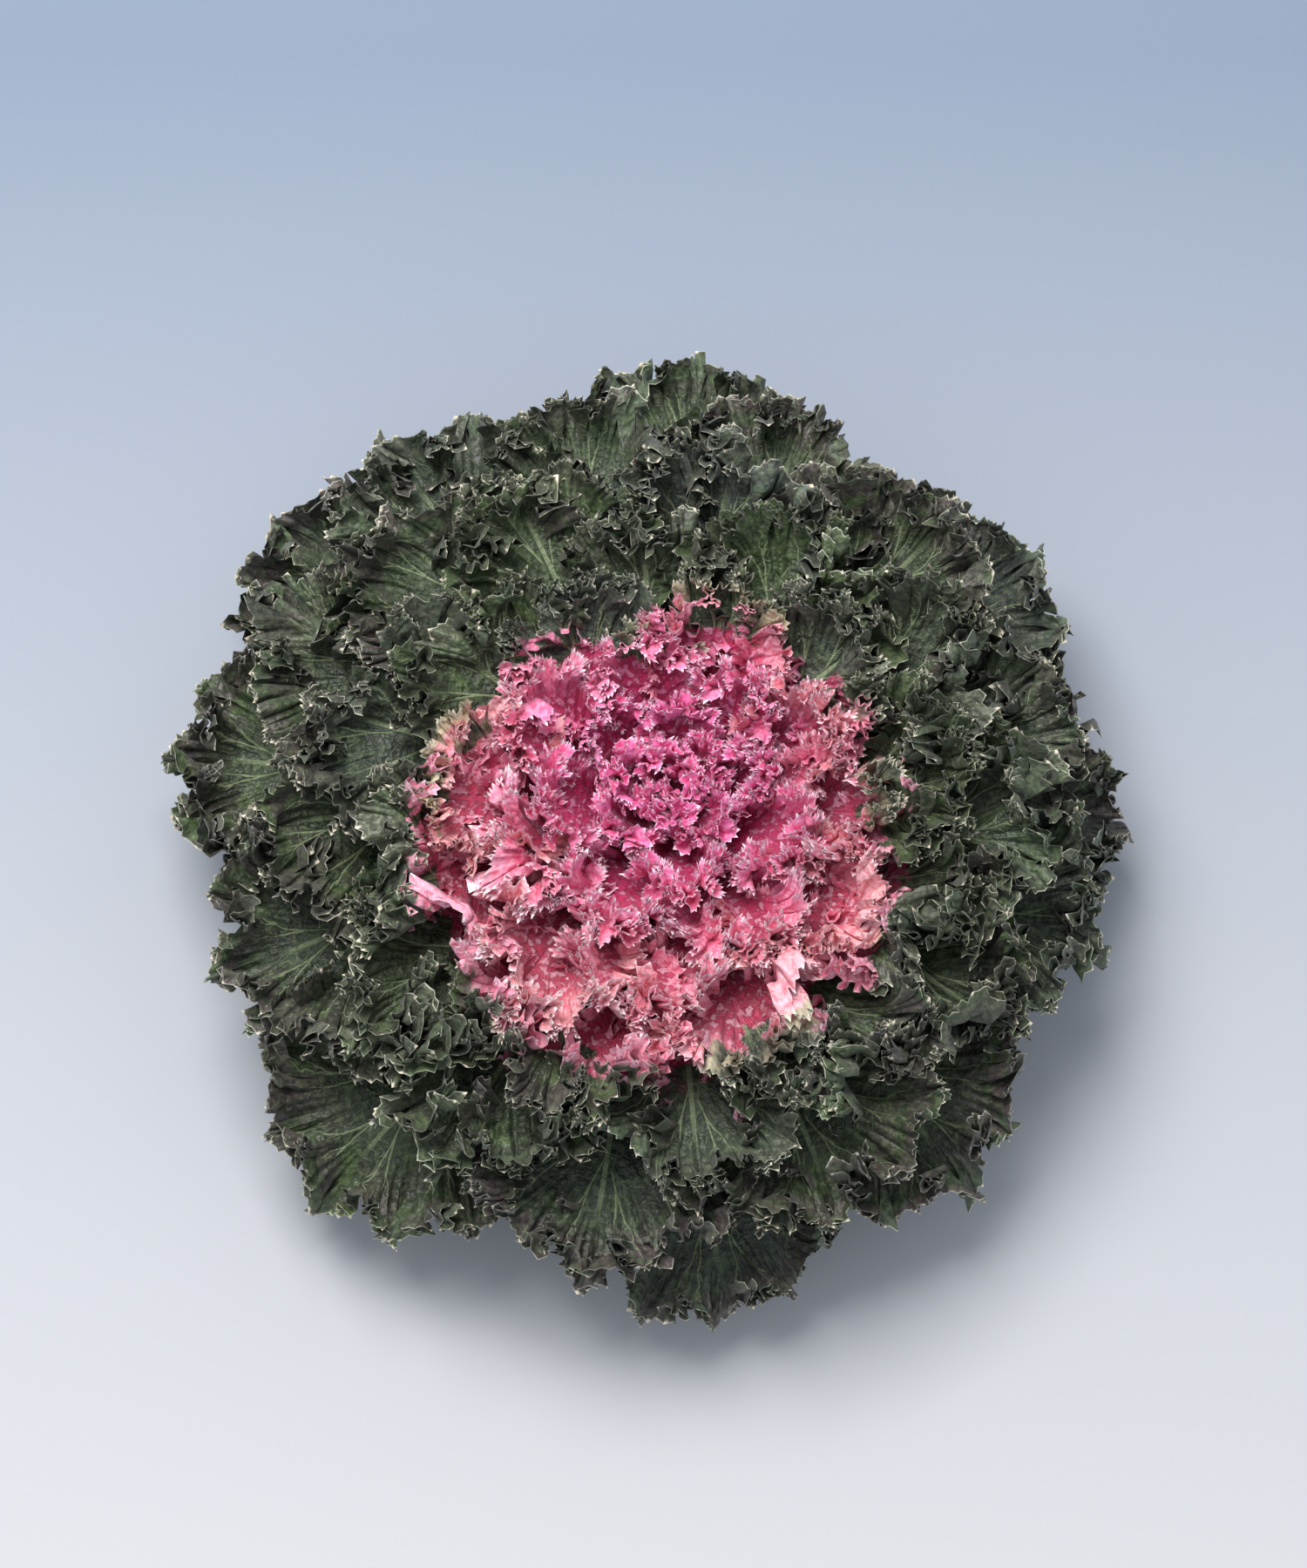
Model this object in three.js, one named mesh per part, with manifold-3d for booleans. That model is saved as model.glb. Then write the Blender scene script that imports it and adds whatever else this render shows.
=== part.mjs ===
// Ornamental kale: a whole head of ruffled leaves, cut from its root and stood on the cut end of
// its stalk. Green leaves form the outer rosette, rose-coloured leaves fill the crown, and a bud of
// very young leaves sits on the stalk's tip. Millimetres, +Z up, origin at the centre of the cut end.
import * as THREE from "three";
import { mergeVertices } from "three/addons/utils/BufferGeometryUtils.js";
import Module from "manifold-3d";

const { clamp, degToRad, smoothstep } = THREE.MathUtils;

// ---- driving sizes -------------------------------------------------------------------------
const headRadius = 206; // stalk axis to the tips of the outermost leaves
const crownHeight = 138; // tips of the innermost leaves above the cut end
const rimHeight = 7; // tips of the outermost leaves above the cut end
const stalkRadius = 18;
const stalkHeight = 96; // the stalk's growing tip
const lowestSeat = 12; // where the outermost leaf leaves the stalk
const lean = 0.12; // the head leans towards +X by this share of its height

const leafCount = 58; // leaves outside the bud
const budLeaves = 8;
const roseRadius = 110; // the rose-coloured patch on the crown is a circle
const roseCentre = new THREE.Vector2(-6, -22); // and its centre lies a little off the stalk's axis

const bladeThickness = 1;
const greenWidth = 0.68; // blade width as a share of the leaf's length
const roseWidth = 0.6;
const petioleShare = 0.33; // bare leaf stalk as a share of the leaf's length
const greenClearance = 3.2; // least distance kept between the middles of two blades
const roseClearance = 3;
const seatGap = 0.3; // clearance between a leaf's foot and the stalk

// ---- a family of nested shells -------------------------------------------------------------
// Every leaf lies along a shell, a surface of revolution round the stalk. Depth 0 is the heart and
// depth 1 the outermost leaf. The profile runs from the stalk to the leaf's tip, as a cubic curve.
const fullness = 1.7; // above 1 the outer leaves all reach nearly as far
const droop = 2.6; // the higher, the later the tips start to sink towards the rim
const profileBend = 0.38; // length of the curve's handles as a share of the chord

const seatRadius = (depth) => stalkRadius * (1 - (1 - depth) ** 3);
const seatHeight = (depth) => lowestSeat + (stalkHeight - lowestSeat) * (1 - depth);
const footAngle = (depth) => degToRad(25 + 62 * (1 - depth));
const tipAngle = (depth) => degToRad(60 - 125 * depth);
const tipRadius = (depth) => headRadius * (1 - Math.max(0, 1 - depth) ** fullness);
const tipHeight = (depth) => crownHeight - (crownHeight - rimHeight) * depth ** droop;
const heading = (angle) => new THREE.Vector2(Math.cos(angle), Math.sin(angle));

const profiles = new Map();
function profile(depth) {
  const key = depth.toFixed(3);
  if (!profiles.has(key)) {
    const foot = new THREE.Vector2(seatRadius(depth), seatHeight(depth));
    const tip = new THREE.Vector2(tipRadius(depth), tipHeight(depth));
    const handle = profileBend * foot.distanceTo(tip);
    const afterFoot = foot.clone().addScaledVector(heading(footAngle(depth)), handle);
    const beforeTip = tip.clone().addScaledVector(heading(tipAngle(depth)), -handle);
    const curve = new THREE.CubicBezierCurve(foot, afterFoot, beforeTip, tip);
    curve.arcLengthDivisions = 60;
    profiles.set(key, { curve, length: curve.getLength() });
  }
  return profiles.get(key);
}

// The shell's point at a share of its length, blended between two neighbouring profiles.
function shellPoint(depth, share) {
  const step = 0.001;
  const low = Math.floor(depth / step) * step;
  const below = profile(low).curve.getPointAt(clamp(share, 0, 1));
  const above = profile(low + step).curve.getPointAt(clamp(share, 0, 1));
  return below.lerp(above, (depth - low) / step);
}

// Millimetres, square to the shell, for one whole unit of depth.
const spacings = new Map();
function spacing(depth, share) {
  const at = clamp(depth, 0.02, 0.98);
  const along = clamp(share, 0, 0.99);
  const key = at.toFixed(2) + "," + along.toFixed(2);
  if (!spacings.has(key)) {
    const half = 0.01;
    const across = shellPoint(at + half, along).sub(shellPoint(at - half, along));
    const tangent = profile(at).curve.getTangentAt(along);
    spacings.set(key, Math.max(20, Math.abs(across.cross(tangent)) / (2 * half)));
  }
  return spacings.get(key);
}

// ---- where each leaf grows -----------------------------------------------------------------
const goldenAngle = Math.PI * (3 - Math.sqrt(5));
const innermost = 0.03; // depth of the youngest leaf in the bud
const heartDepth = 0.13; // depth of the first leaf outside the bud

// A fixed sequence of numbers from -1 to 1 gives each leaf its small differences.
function chance(leaf, trait) {
  const wave = Math.sin(12.9898 * (leaf + 1) + 78.233 * trait) * 43758.5453;
  return 2 * (wave - Math.floor(wave)) - 1;
}

// Leaf 0 is the first one outside the bud, whose leaves have the numbers below 0. Each next leaf
// stands one golden angle further round and a little further out.
function leafPlan(leaf) {
  const inBud = leaf < 0;
  const age = Math.max(0, leaf + 0.5) / leafCount;
  const youth = (leaf + budLeaves + 1) / (budLeaves + 1);
  const depth = inBud
    ? innermost + (heartDepth - innermost) * youth
    : heartDepth + (1 - heartDepth) * age;
  const azimuth = leaf * goldenAngle + degToRad(5) * chance(leaf, 1);
  const tip = heading(azimuth).multiplyScalar(tipRadius(depth));
  const rose = tip.distanceTo(roseCentre) < roseRadius;
  const length = profile(depth).length;
  return {
    rose,
    inBud,
    depth,
    azimuth,
    length,
    width: (rose ? roseWidth : greenWidth) * length * (1 + 0.08 * chance(leaf, 2)),
    reach: 0.97 + 0.03 * chance(leaf, 3),
    footWidth: 2 + 4.2 * depth,
    footThickness: 1.4 + 3.2 * depth,
    waves: inBud ? 5 : rose ? 7 : 9,
    waveHeight: inBud ? 1.5 : (0.022 + 0.015 * depth) * length,
    clearance: rose ? roseClearance : greenClearance,
    rows: inBud ? [0, 1] : rose ? [0, 0.66, 1] : [0, 0.52, 0.8, 1],
  };
}

// ---- the blade's outline and its waved edge ------------------------------------------------
const bluntness = 0.7; // below 1 the tip is broader
const obovate = 0.35; // moves the blade's widest place towards the tip
const tipCrowding = 0.6; // below 1 the waves are closer together at the tip than at the sides
const veinRise = 0.6; // the last side veins leave the midrib at this share of the blade's length
const lobeShare = 0.1; // the crests reach out, and the hollows in, by this share
const frillStart = 0.4; // the blade is smooth from the midrib to this share of its width
const calmShare = 0.35; // the waves die out over this last stretch of the margin

// turn runs along the margin from -1, right of the leaf stalk, by 0 at the tip, to 1. Gives the
// distance sideways from the midrib and the distance along it, in millimetres.
function margin(plan, turn) {
  const round = Math.PI * turn;
  const neck = petioleShare * plan.length;
  const blade = plan.length * plan.reach - neck;
  const side = (plan.width / 2) * Math.sin(round) * (1 + obovate * Math.cos(round));
  return {
    x: side + Math.sign(turn) * plan.footWidth * smoothstep(Math.abs(turn), 0.7, 1),
    y: neck + blade * ((1 + Math.cos(round)) / 2) ** bluntness,
  };
}

// A point of the blade: even runs from -1 to 1 in equal steps per wave, row is 0 on the midrib and
// 1 at the margin, and crest is 1 or -1 on the crests and hollows of the waves. share is the place
// along the leaf, and lift is towards the heart.
function bladePoint(plan, even, row, crest) {
  const turn = even * (tipCrowding + (1 - tipCrowding) * even * even);
  const edge = margin(plan, turn);
  const neck = petioleShare * plan.length;
  const rib = neck + veinRise * (plan.length * plan.reach - neck) * (1 - Math.abs(even));
  const frill = Math.max(0, (row - frillStart) / (1 - frillStart)) ** 1.4;
  const wave = crest * frill * smoothstep(1 - Math.abs(turn), 0, calmShare);
  const stretch = row * (1 + lobeShare * wave);
  return {
    x: edge.x * stretch,
    share: Math.min(1.04, (rib + (edge.y - rib) * stretch) / plan.length),
    lift: plan.waveHeight * wave,
  };
}

// ---- bending the leaves clear of each other ------------------------------------------------
// Leaves are laid from the outermost inwards. A grid of azimuths and shares keeps the depth of the
// innermost blade so far, and each new leaf is bent inwards wherever it comes too near to that.
const azimuthCells = 180;
const shareCells = 30;
const innermostBlade = new Float32Array(azimuthCells * shareCells).fill(9);

function cellOf(azimuth, share) {
  const turns = azimuth / (2 * Math.PI);
  const column = Math.floor((turns - Math.floor(turns)) * azimuthCells) % azimuthCells;
  return column * shareCells + clamp(Math.floor(share * shareCells), 0, shareCells - 1);
}

// Evenly spread places on a triangle, with the weight of each corner there.
const spotSteps = 5;
const spots = [];
for (let i = 0; i <= spotSteps; i++)
  for (let j = 0; j <= spotSteps - i; j++)
    spots.push([i, j, spotSteps - i - j].map((weight) => weight / spotSteps));

function samples(points, triangle) {
  return spots.map((weights) => {
    const mix = (name) => triangle.reduce((sum, v, i) => sum + points[v][name] * weights[i], 0);
    return { azimuth: mix("azimuth"), share: mix("share"), depth: mix("depth"), weights };
  });
}

// Where the blade would climb off its shell too steeply between two points, the outer one moves in.
function limitSlope(one, other, length) {
  const steepest = 1.2;
  const [inner, outer] = one.depth < other.depth ? [one, other] : [other, one];
  const around = (one.azimuth - other.azimuth) * Math.max(one.radius, other.radius);
  const run = Math.hypot(around, (one.share - other.share) * length);
  const climb = (steepest * run) / spacing(outer.depth, outer.share);
  outer.depth = Math.min(outer.depth, inner.depth + climb);
}

function bendClear(points, triangles, clearance, length) {
  const passes = 6;
  const shallowest = 0.004;
  const stiffFoot = 0.12; // this first share of the leaf is not bent
  for (let pass = 0; pass < passes; pass++) {
    const bend = new Float32Array(points.length);
    for (const triangle of triangles)
      for (const spot of samples(points, triangle)) {
        if (spot.share < petioleShare) continue;
        const limit = innermostBlade[cellOf(spot.azimuth, spot.share)];
        const room = clearance / spacing(spot.depth, spot.share);
        const excess = Math.max(0, spot.depth + room - limit);
        triangle.forEach((v, i) => {
          bend[v] = Math.max(bend[v], excess * Math.min(1, 3 * spot.weights[i]));
        });
      }
    points.forEach((point, i) => {
      if (point.share > stiffFoot) point.depth = Math.max(shallowest, point.depth - bend[i]);
    });
    for (const [a, b, c] of triangles)
      for (const [v, w] of [[a, b], [b, c], [c, a]]) limitSlope(points[v], points[w], length);
  }
  for (const triangle of triangles)
    for (const spot of samples(points, triangle)) {
      const cell = cellOf(spot.azimuth, spot.share);
      innermostBlade[cell] = Math.min(innermostBlade[cell], spot.depth);
    }
}

// ---- one leaf as a solid -------------------------------------------------------------------
function leafGeometry(plan) {
  const columns = 2 * plan.waves;
  const rows = plan.rows;
  const last = rows.length - 1;
  const points = [];
  const addPoint = (x, share, lift, thickness) => {
    const radius = Math.max(6, shellPoint(plan.depth, share).x);
    const depth = plan.depth - lift / spacing(plan.depth, share);
    points.push({ azimuth: plan.azimuth + x / radius, share, depth, radius, thickness });
    return points.length - 1;
  };
  const ribThickness = (share) =>
    bladeThickness + (plan.footThickness - bladeThickness) * Math.max(0, 1 - share) ** 1.5;

  // The blade. Its two halves share the midrib, which is row 0.
  const grid = rows.map(() => []);
  for (let column = 0; column <= columns; column++) {
    const even = (2 * column) / columns - 1;
    rows.forEach((row, i) => {
      const at = bladePoint(plan, even, row, column % 2 ? -1 : 1);
      if (row > 0) grid[i][column] = addPoint(at.x, at.share, at.lift, bladeThickness);
      else if (column > columns / 2) grid[0][column] = grid[0][columns - column];
      else grid[0][column] = addPoint(0, at.share, 0, ribThickness(at.share));
    });
  }

  // The leaf stalk, from its foot, rounded across, to the first points of the blade.
  const foot = [];
  const neck = [];
  for (let i = -last; i <= last; i++) {
    const across = Math.sign(i) * rows[Math.abs(i)];
    const thickness = Math.max(bladeThickness, plan.footThickness * Math.sqrt(1 - across * across));
    foot.push(addPoint(across * plan.footWidth, 0, 0, thickness));
    neck.push(grid[Math.abs(i)][i < 0 ? 0 : columns]);
  }

  // The two halves of the blade are split into triangles as mirror images of each other.
  const triangles = [];
  for (let i = 0; i < last; i++)
    for (let column = 0; column < columns; column++) {
      const [a, b] = [grid[i][column], grid[i + 1][column]];
      const [d, c] = [grid[i][column + 1], grid[i + 1][column + 1]];
      if (column < columns / 2) triangles.push([a, b, d], [b, c, d]);
      else triangles.push([a, b, c], [a, c, d]);
    }
  for (let i = 0; i < 2 * last; i++)
    triangles.push([foot[i], neck[i], neck[i + 1]], [foot[i], neck[i + 1], foot[i + 1]]);

  bendClear(points, triangles, plan.clearance, plan.length);
  return thicken(plan, points, triangles, foot);
}

// The middle surface in space. Past the shell's end a point goes on straight.
function middlePoint(plan, point) {
  const end = shellPoint(point.depth, point.share);
  const tangent = profile(point.depth).curve.getTangentAt(1);
  const at = end.addScaledVector(tangent, Math.max(0, point.share - 1) * plan.length);
  return new THREE.Vector3(at.x * Math.cos(point.azimuth), at.x * Math.sin(point.azimuth), at.y);
}

// The direction square to the surface at each point, evened out so that neighbours nearly agree
// and the two faces of a sharply waved blade cannot cross.
function evenNormals(middle, triangles) {
  let normals = middle.map(() => new THREE.Vector3());
  for (const [a, b, c] of triangles) {
    const square = middle[b].clone().sub(middle[a]).cross(middle[c].clone().sub(middle[a]));
    for (const v of [a, b, c]) normals[v].add(square);
  }
  const rounds = 4;
  for (let round = 0; round < rounds; round++) {
    normals.forEach((normal) => normal.normalize());
    const evened = normals.map((normal) => normal.clone());
    for (const [a, b, c] of triangles)
      for (const [v, w] of [[a, b], [b, c], [c, a]]) {
        evened[v].add(normals[w]);
        evened[w].add(normals[v]);
      }
    normals = evened;
  }
  return normals.map((normal) => normal.normalize());
}

// Turns the middle surface into a closed solid: the same triangles above and below, and a rim.
function thicken(plan, points, triangles, foot) {
  const middle = points.map((point) => middlePoint(plan, point));
  const normals = evenNormals(middle, triangles);
  const shifted = (side) =>
    middle.map((at, i) => at.clone().addScaledVector(normals[i], (side * points[i].thickness) / 2));
  const upper = shifted(1);
  const lower = shifted(-1);
  if (!plan.inBud)
    for (const v of foot) {
      seat(plan.depth, upper[v]);
      seat(plan.depth, lower[v]);
    }

  const count = points.length;
  const index = [];
  const openEdges = new Map();
  for (const [a, b, c] of triangles) {
    index.push(a, b, c, a + count, c + count, b + count);
    for (const [from, to] of [[a, b], [b, c], [c, a]])
      if (!openEdges.delete(to + "," + from)) openEdges.set(from + "," + to, [from, to]);
  }
  for (const [from, to] of openEdges.values())
    index.push(to, from, from + count, to, from + count, to + count);
  const position = new THREE.Float32BufferAttribute([...upper, ...lower].flatMap((v) => v.toArray()), 3);
  return leaned(new THREE.BufferGeometry().setAttribute("position", position).setIndex(index));
}

// Slides a point of a leaf's foot along the leaf until it lies seatGap outside the stalk.
function seat(depth, point) {
  const step = 0.01;
  const skin = new THREE.Vector2(
    seatRadius(depth + step) - seatRadius(depth),
    seatHeight(depth + step) - seatHeight(depth),
  );
  const out = new THREE.Vector2(-skin.y, skin.x).normalize();
  const along = heading(footAngle(depth));
  const radius = Math.hypot(point.x, point.y);
  const offset = new THREE.Vector2(radius - seatRadius(depth), point.z - seatHeight(depth));
  const slide = (seatGap - offset.dot(out)) / along.dot(out);
  point.x *= 1 + (slide * along.x) / radius;
  point.y *= 1 + (slide * along.x) / radius;
  point.z += slide * along.y;
}

function leaned(geometry) {
  const position = geometry.attributes.position;
  for (let i = 0; i < position.count; i++)
    position.setX(i, position.getX(i) + lean * position.getZ(i));
  return geometry;
}

// ---- stalk ---------------------------------------------------------------------------------
// A stout stem, cut square at the bottom, which tapers to the flat spot that carries the bud.
const budSeat = 0.13; // depth at which the stalk ends

function stalkGeometry() {
  const outline = [new THREE.Vector2(0, 0), new THREE.Vector2(stalkRadius, 0)];
  const steps = 9;
  for (let i = 0; i <= steps; i++) {
    const depth = 1 - ((1 - budSeat) * i) / steps;
    outline.push(new THREE.Vector2(seatRadius(depth), seatHeight(depth)));
  }
  outline.push(new THREE.Vector2(0, seatHeight(budSeat)));
  return leaned(new THREE.LatheGeometry(outline, 20).rotateX(Math.PI / 2));
}

// ---- bud -----------------------------------------------------------------------------------
// A slim core on the stalk's tip, with young leaves fused to it at their feet.
const wasm = await Module();
wasm.setup();

function toSolid(geometry) {
  const bare = new THREE.BufferGeometry()
    .setAttribute("position", geometry.attributes.position)
    .setIndex(geometry.index);
  const merged = mergeVertices(bare, 1e-3);
  const vertProperties = merged.attributes.position.array;
  const triVerts = new Uint32Array(merged.index.array);
  return new wasm.Manifold(new wasm.Mesh({ numProp: 3, vertProperties, triVerts }));
}

function toGeometry(solid) {
  const mesh = solid.getMesh();
  return new THREE.BufferGeometry()
    .setAttribute("position", new THREE.Float32BufferAttribute(mesh.vertProperties, 3))
    .setIndex([...mesh.triVerts]);
}

function budGeometry() {
  const bottom = seatHeight(budSeat) + seatGap;
  const outline = [
    new THREE.Vector2(0, bottom),
    new THREE.Vector2(seatRadius(budSeat) - 0.2, bottom),
    new THREE.Vector2(4, bottom + 12),
    new THREE.Vector2(3, bottom + 30),
    new THREE.Vector2(0, bottom + 34),
  ];
  let solid = toSolid(leaned(new THREE.LatheGeometry(outline, 10).rotateX(Math.PI / 2)));
  for (let leaf = -1; leaf >= -budLeaves; leaf--) solid = solid.add(toSolid(leafGeometry(leafPlan(leaf))));
  const finest = 0.03; // slivers thinner than this are merged away
  return toGeometry(solid.simplify(finest));
}

// ---- the head ------------------------------------------------------------------------------
const kale = new THREE.Group();

function place(name, geometry, color, roughness) {
  geometry.computeVertexNormals();
  const material = new THREE.MeshStandardMaterial({ color, roughness, metalness: 0 });
  const mesh = new THREE.Mesh(geometry, material);
  mesh.name = name;
  kale.add(mesh);
}

place("stalk", stalkGeometry(), "#a9b48a", 0.6);

const placed = { green: 0, rose: 0 };
for (let leaf = leafCount - 1; leaf >= 0; leaf--) {
  const plan = leafPlan(leaf);
  const kind = plan.rose ? "rose" : "green";
  placed[kind] += 1;
  const name = kind + "_leaf_" + String(placed[kind]).padStart(2, "0");
  place(name, leafGeometry(plan), plan.rose ? "#d65f86" : "#33492f", 0.6);
}

place("bud", budGeometry(), "#b8336a", 0.6);

export default kale;
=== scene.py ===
# Ornamental kale, a whole head cut from its root: a stout stalk, green leaves with frilled
# margins, rose-coloured leaves in the crown, and a bud of young leaves on the stalk's tip.
# Lengths are millimetres while a shape is worked out, and metres once it is a mesh.
import math
from functools import partial

import bpy
import numpy as np
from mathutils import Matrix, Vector


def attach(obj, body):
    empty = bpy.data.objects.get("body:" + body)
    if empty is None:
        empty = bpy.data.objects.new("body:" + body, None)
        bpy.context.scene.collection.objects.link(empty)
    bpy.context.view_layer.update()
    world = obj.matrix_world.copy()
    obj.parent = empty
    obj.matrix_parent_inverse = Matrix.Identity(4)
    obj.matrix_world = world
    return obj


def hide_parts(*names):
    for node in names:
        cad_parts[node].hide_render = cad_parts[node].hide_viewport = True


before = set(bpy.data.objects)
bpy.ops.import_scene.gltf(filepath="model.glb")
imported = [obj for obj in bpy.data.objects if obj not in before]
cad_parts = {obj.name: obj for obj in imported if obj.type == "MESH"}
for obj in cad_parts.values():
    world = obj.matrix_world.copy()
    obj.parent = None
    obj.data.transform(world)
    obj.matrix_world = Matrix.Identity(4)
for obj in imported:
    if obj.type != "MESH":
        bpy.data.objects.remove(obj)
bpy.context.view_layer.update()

# ---- stalk -----------------------------------------------------------------------------------
# The stem that carries every leaf: pale green, slightly woody, cut square at the bottom with a
# knife. It tapers to the growing tip, and shed leaves have left low crescent scars on it.
STALK_RADIUS = 18.0
STALK_HEIGHT = 96.0
LOWEST_SEAT = 12.0
BUD_SEAT = 0.13  # depth at which the stalk ends and the bud begins
LEAN = 0.12  # the head leans towards +X by this share of its height
GOLDEN_ANGLE = math.pi * (3.0 - math.sqrt(5.0))
CUT_BEVEL = 0.6
PITH_HOLLOW = 0.25  # how far the pith has shrunk in behind the cut face
PITH_EDGE = (14.5, 9.0)  # radii at which that hollow starts and is fully deep
STALK_COLUMNS = 96
FACE_RINGS, LOW_RINGS, SKIN_RINGS, TIP_RINGS = 14, 8, 70, 6
SCAR_COUNT = 9
LOWEST_SCAR = 1.6
SCAR_PITCH = 1.15
SCAR_RELIEF = 0.5
SCAR_WIDTH = 0.7
SCAR_REACH = 0.75  # half of the angle that a scar takes up round the stalk, in radians
SCAR_BOW, BOW_ANGLE = 2.2, 0.7  # a scar's ends rise by the square of their angle over this one


def smooth(value, low, high):
    """0 below low, 1 above high, and an S-shaped cubic rise between them."""
    t = np.clip((value - low) / (high - low), 0.0, 1.0)
    return t * t * (3.0 - 2.0 * t)


def seat_radius(depth):
    """Radius of the stalk where a leaf of that depth grows: 0 at the heart, all of it at 1."""
    return STALK_RADIUS * (1.0 - (1.0 - depth) ** 3)


def seat_height(depth):
    """Height of that place above the cut end, falling in step with the depth."""
    return LOWEST_SEAT + (STALK_HEIGHT - LOWEST_SEAT) * (1.0 - depth)


def leaned(points):
    """The points moved sideways by the lean times their height."""
    points = np.array(points)
    points[..., 0] += LEAN * points[..., 2]
    return points


def new_piece(name, points, faces, material, values=None):
    """A smooth mesh from points in millimetres and faces by their corners, riding on the root.
    Each named array in values becomes an attribute with one vector a point."""
    mesh = bpy.data.meshes.new(name)
    mesh.from_pydata(points * 0.001, [], faces)
    for key, data in (values or {}).items():
        attribute = mesh.attributes.new(key, "FLOAT_VECTOR", "POINT")
        attribute.data.foreach_set("vector", data.astype(np.float32).ravel())
    mesh.shade_smooth()
    mesh.set_sharp_from_angle(angle=math.radians(110.0))
    mesh.materials.append(material)
    piece = bpy.data.objects.new(name, mesh)
    bpy.context.scene.collection.objects.link(piece)
    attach(piece, "root")
    return piece


def new_material(name):
    """An empty node material, and its node tree."""
    material = bpy.data.materials.new(name)
    material.use_nodes = True
    material.node_tree.nodes.clear()
    return material, material.node_tree


def add_node(tree, kind, inputs=(), **settings):
    """A node of that kind, with settings for its properties. Its inputs, in their order or by
    name, are numbers, colours or output sockets of other nodes, which are joined to it."""
    node = tree.nodes.new(kind)
    for key, value in settings.items():
        setattr(node, key, value)
    for key, value in inputs.items() if isinstance(inputs, dict) else enumerate(inputs):
        socket = node.inputs[key]
        if isinstance(value, bpy.types.NodeSocket):
            tree.links.new(value, socket)
        else:
            socket.default_value = (*value, 1.0) if socket.type == "RGBA" else value
    return node


def formula(tree, operation, *inputs, clamp=False):
    """A Math node on numbers or sockets. Returns its output socket."""
    return add_node(tree, "ShaderNodeMath", inputs, operation=operation, use_clamp=clamp).outputs[0]


def blend_colour(tree, factor, one, other):
    """A colour mix of one and other, each a socket or an RGB triple. Returns the output socket."""
    inputs = {0: factor, 6: one, 7: other}  # the colour sockets come after the number sockets
    return add_node(tree, "ShaderNodeMix", inputs, data_type="RGBA").outputs[2]


def remap(tree, value, low, high):
    """A smooth step: 0 where value is below low, and 1 where it is above high."""
    inputs = (value, low, high)
    step = add_node(tree, "ShaderNodeMapRange", inputs, interpolation_type="SMOOTHSTEP")
    return step.outputs[0]


def stalk_grid():
    """Rings round a profile: from the middle of the cut face out to its bevelled edge, then up the
    skin to the tip. The skin's radius rises in low scars that follow the golden angle, and the
    pith's ring of the cut face is hollow."""
    turn = np.linspace(0.0, 2.0 * math.pi, STALK_COLUMNS, endpoint=False)
    face = np.linspace(0.0, 1.0, FACE_RINGS) * (STALK_RADIUS - CUT_BEVEL)
    depth = np.concatenate([np.full(LOW_RINGS, 1.0), np.linspace(1.0, BUD_SEAT, SKIN_RINGS)])
    skin_height = seat_height(depth)
    skin_height[:LOW_RINGS] = np.linspace(CUT_BEVEL, LOWEST_SEAT, LOW_RINGS, endpoint=False)
    skin_radius = seat_radius(depth)
    radius = np.concatenate([face, skin_radius, np.linspace(1.0, 0.0, TIP_RINGS) * skin_radius[-1]])
    top = np.full(TIP_RINGS, skin_height[-1] + 0.2)
    rings_up = np.concatenate([np.zeros(FACE_RINGS), skin_height, top])[:, None]
    scar = np.zeros((len(radius), len(turn)))
    for leaf in range(SCAR_COUNT):
        aside = (turn - leaf * GOLDEN_ANGLE + math.pi) % (2.0 * math.pi) - math.pi
        bow = SCAR_BOW * (aside / BOW_ANGLE)[None, :] ** 2
        rise = rings_up - (LOWEST_SCAR + SCAR_PITCH * leaf) - bow
        ridge = np.exp(-((rise / SCAR_WIDTH) ** 2))
        scar += SCAR_RELIEF * ridge * (np.abs(aside) < SCAR_REACH)[None, :]
    fibre = 0.12 * np.sin(23.0 * turn)[None, :] + 0.07 * np.sin(41.0 * turn + 1.3)[None, :]
    on_skin = smooth(rings_up, 0.2, 1.2) * (radius[:, None] > 2.0)
    across = radius[:, None] + on_skin * (scar + fibre)
    hollow = PITH_HOLLOW * smooth(-across, -PITH_EDGE[0], -PITH_EDGE[1])
    up = np.where(rings_up < 0.1, hollow, rings_up)
    return leaned(np.stack([across * np.cos(turn), across * np.sin(turn), up], axis=-1))


def ring_faces(rings, around):
    """The four-cornered faces between neighbouring rings of points, closed round."""
    low = np.arange(rings - 1)[:, None] * around + np.arange(around)
    following = np.arange(rings - 1)[:, None] * around + (np.arange(around) + 1) % around
    return np.stack([low, following, following + around, low + around], axis=-1).reshape(-1, 4)


stalk_skin, tree = new_material("stalk_skin")
place = add_node(tree, "ShaderNodeTexCoord").outputs["Object"]
x, y, z = add_node(tree, "ShaderNodeSeparateXYZ", (place,)).outputs
stretched = add_node(tree, "ShaderNodeMapping", {"Vector": place, "Scale": (420.0, 420.0, 60.0)})
fibres = {"Vector": stretched.outputs[0], "Detail": 5.0}
fibres = add_node(tree, "ShaderNodeTexNoise", fibres).outputs[0]
on_cut = remap(tree, z, 0.0008, 0.0003)
flat_place = add_node(tree, "ShaderNodeCombineXYZ", (x, y))
around = add_node(tree, "ShaderNodeVectorMath", (flat_place.outputs[0],), operation="LENGTH")
bark = remap(tree, around.outputs["Value"], 0.0138, 0.0152)
skin = blend_colour(tree, fibres, (0.28, 0.33, 0.15), (0.50, 0.54, 0.33))
pith = blend_colour(tree, bark, (0.66, 0.68, 0.50), (0.42, 0.47, 0.24))
pith = blend_colour(tree, fibres, pith, (0.74, 0.73, 0.58))
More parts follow.
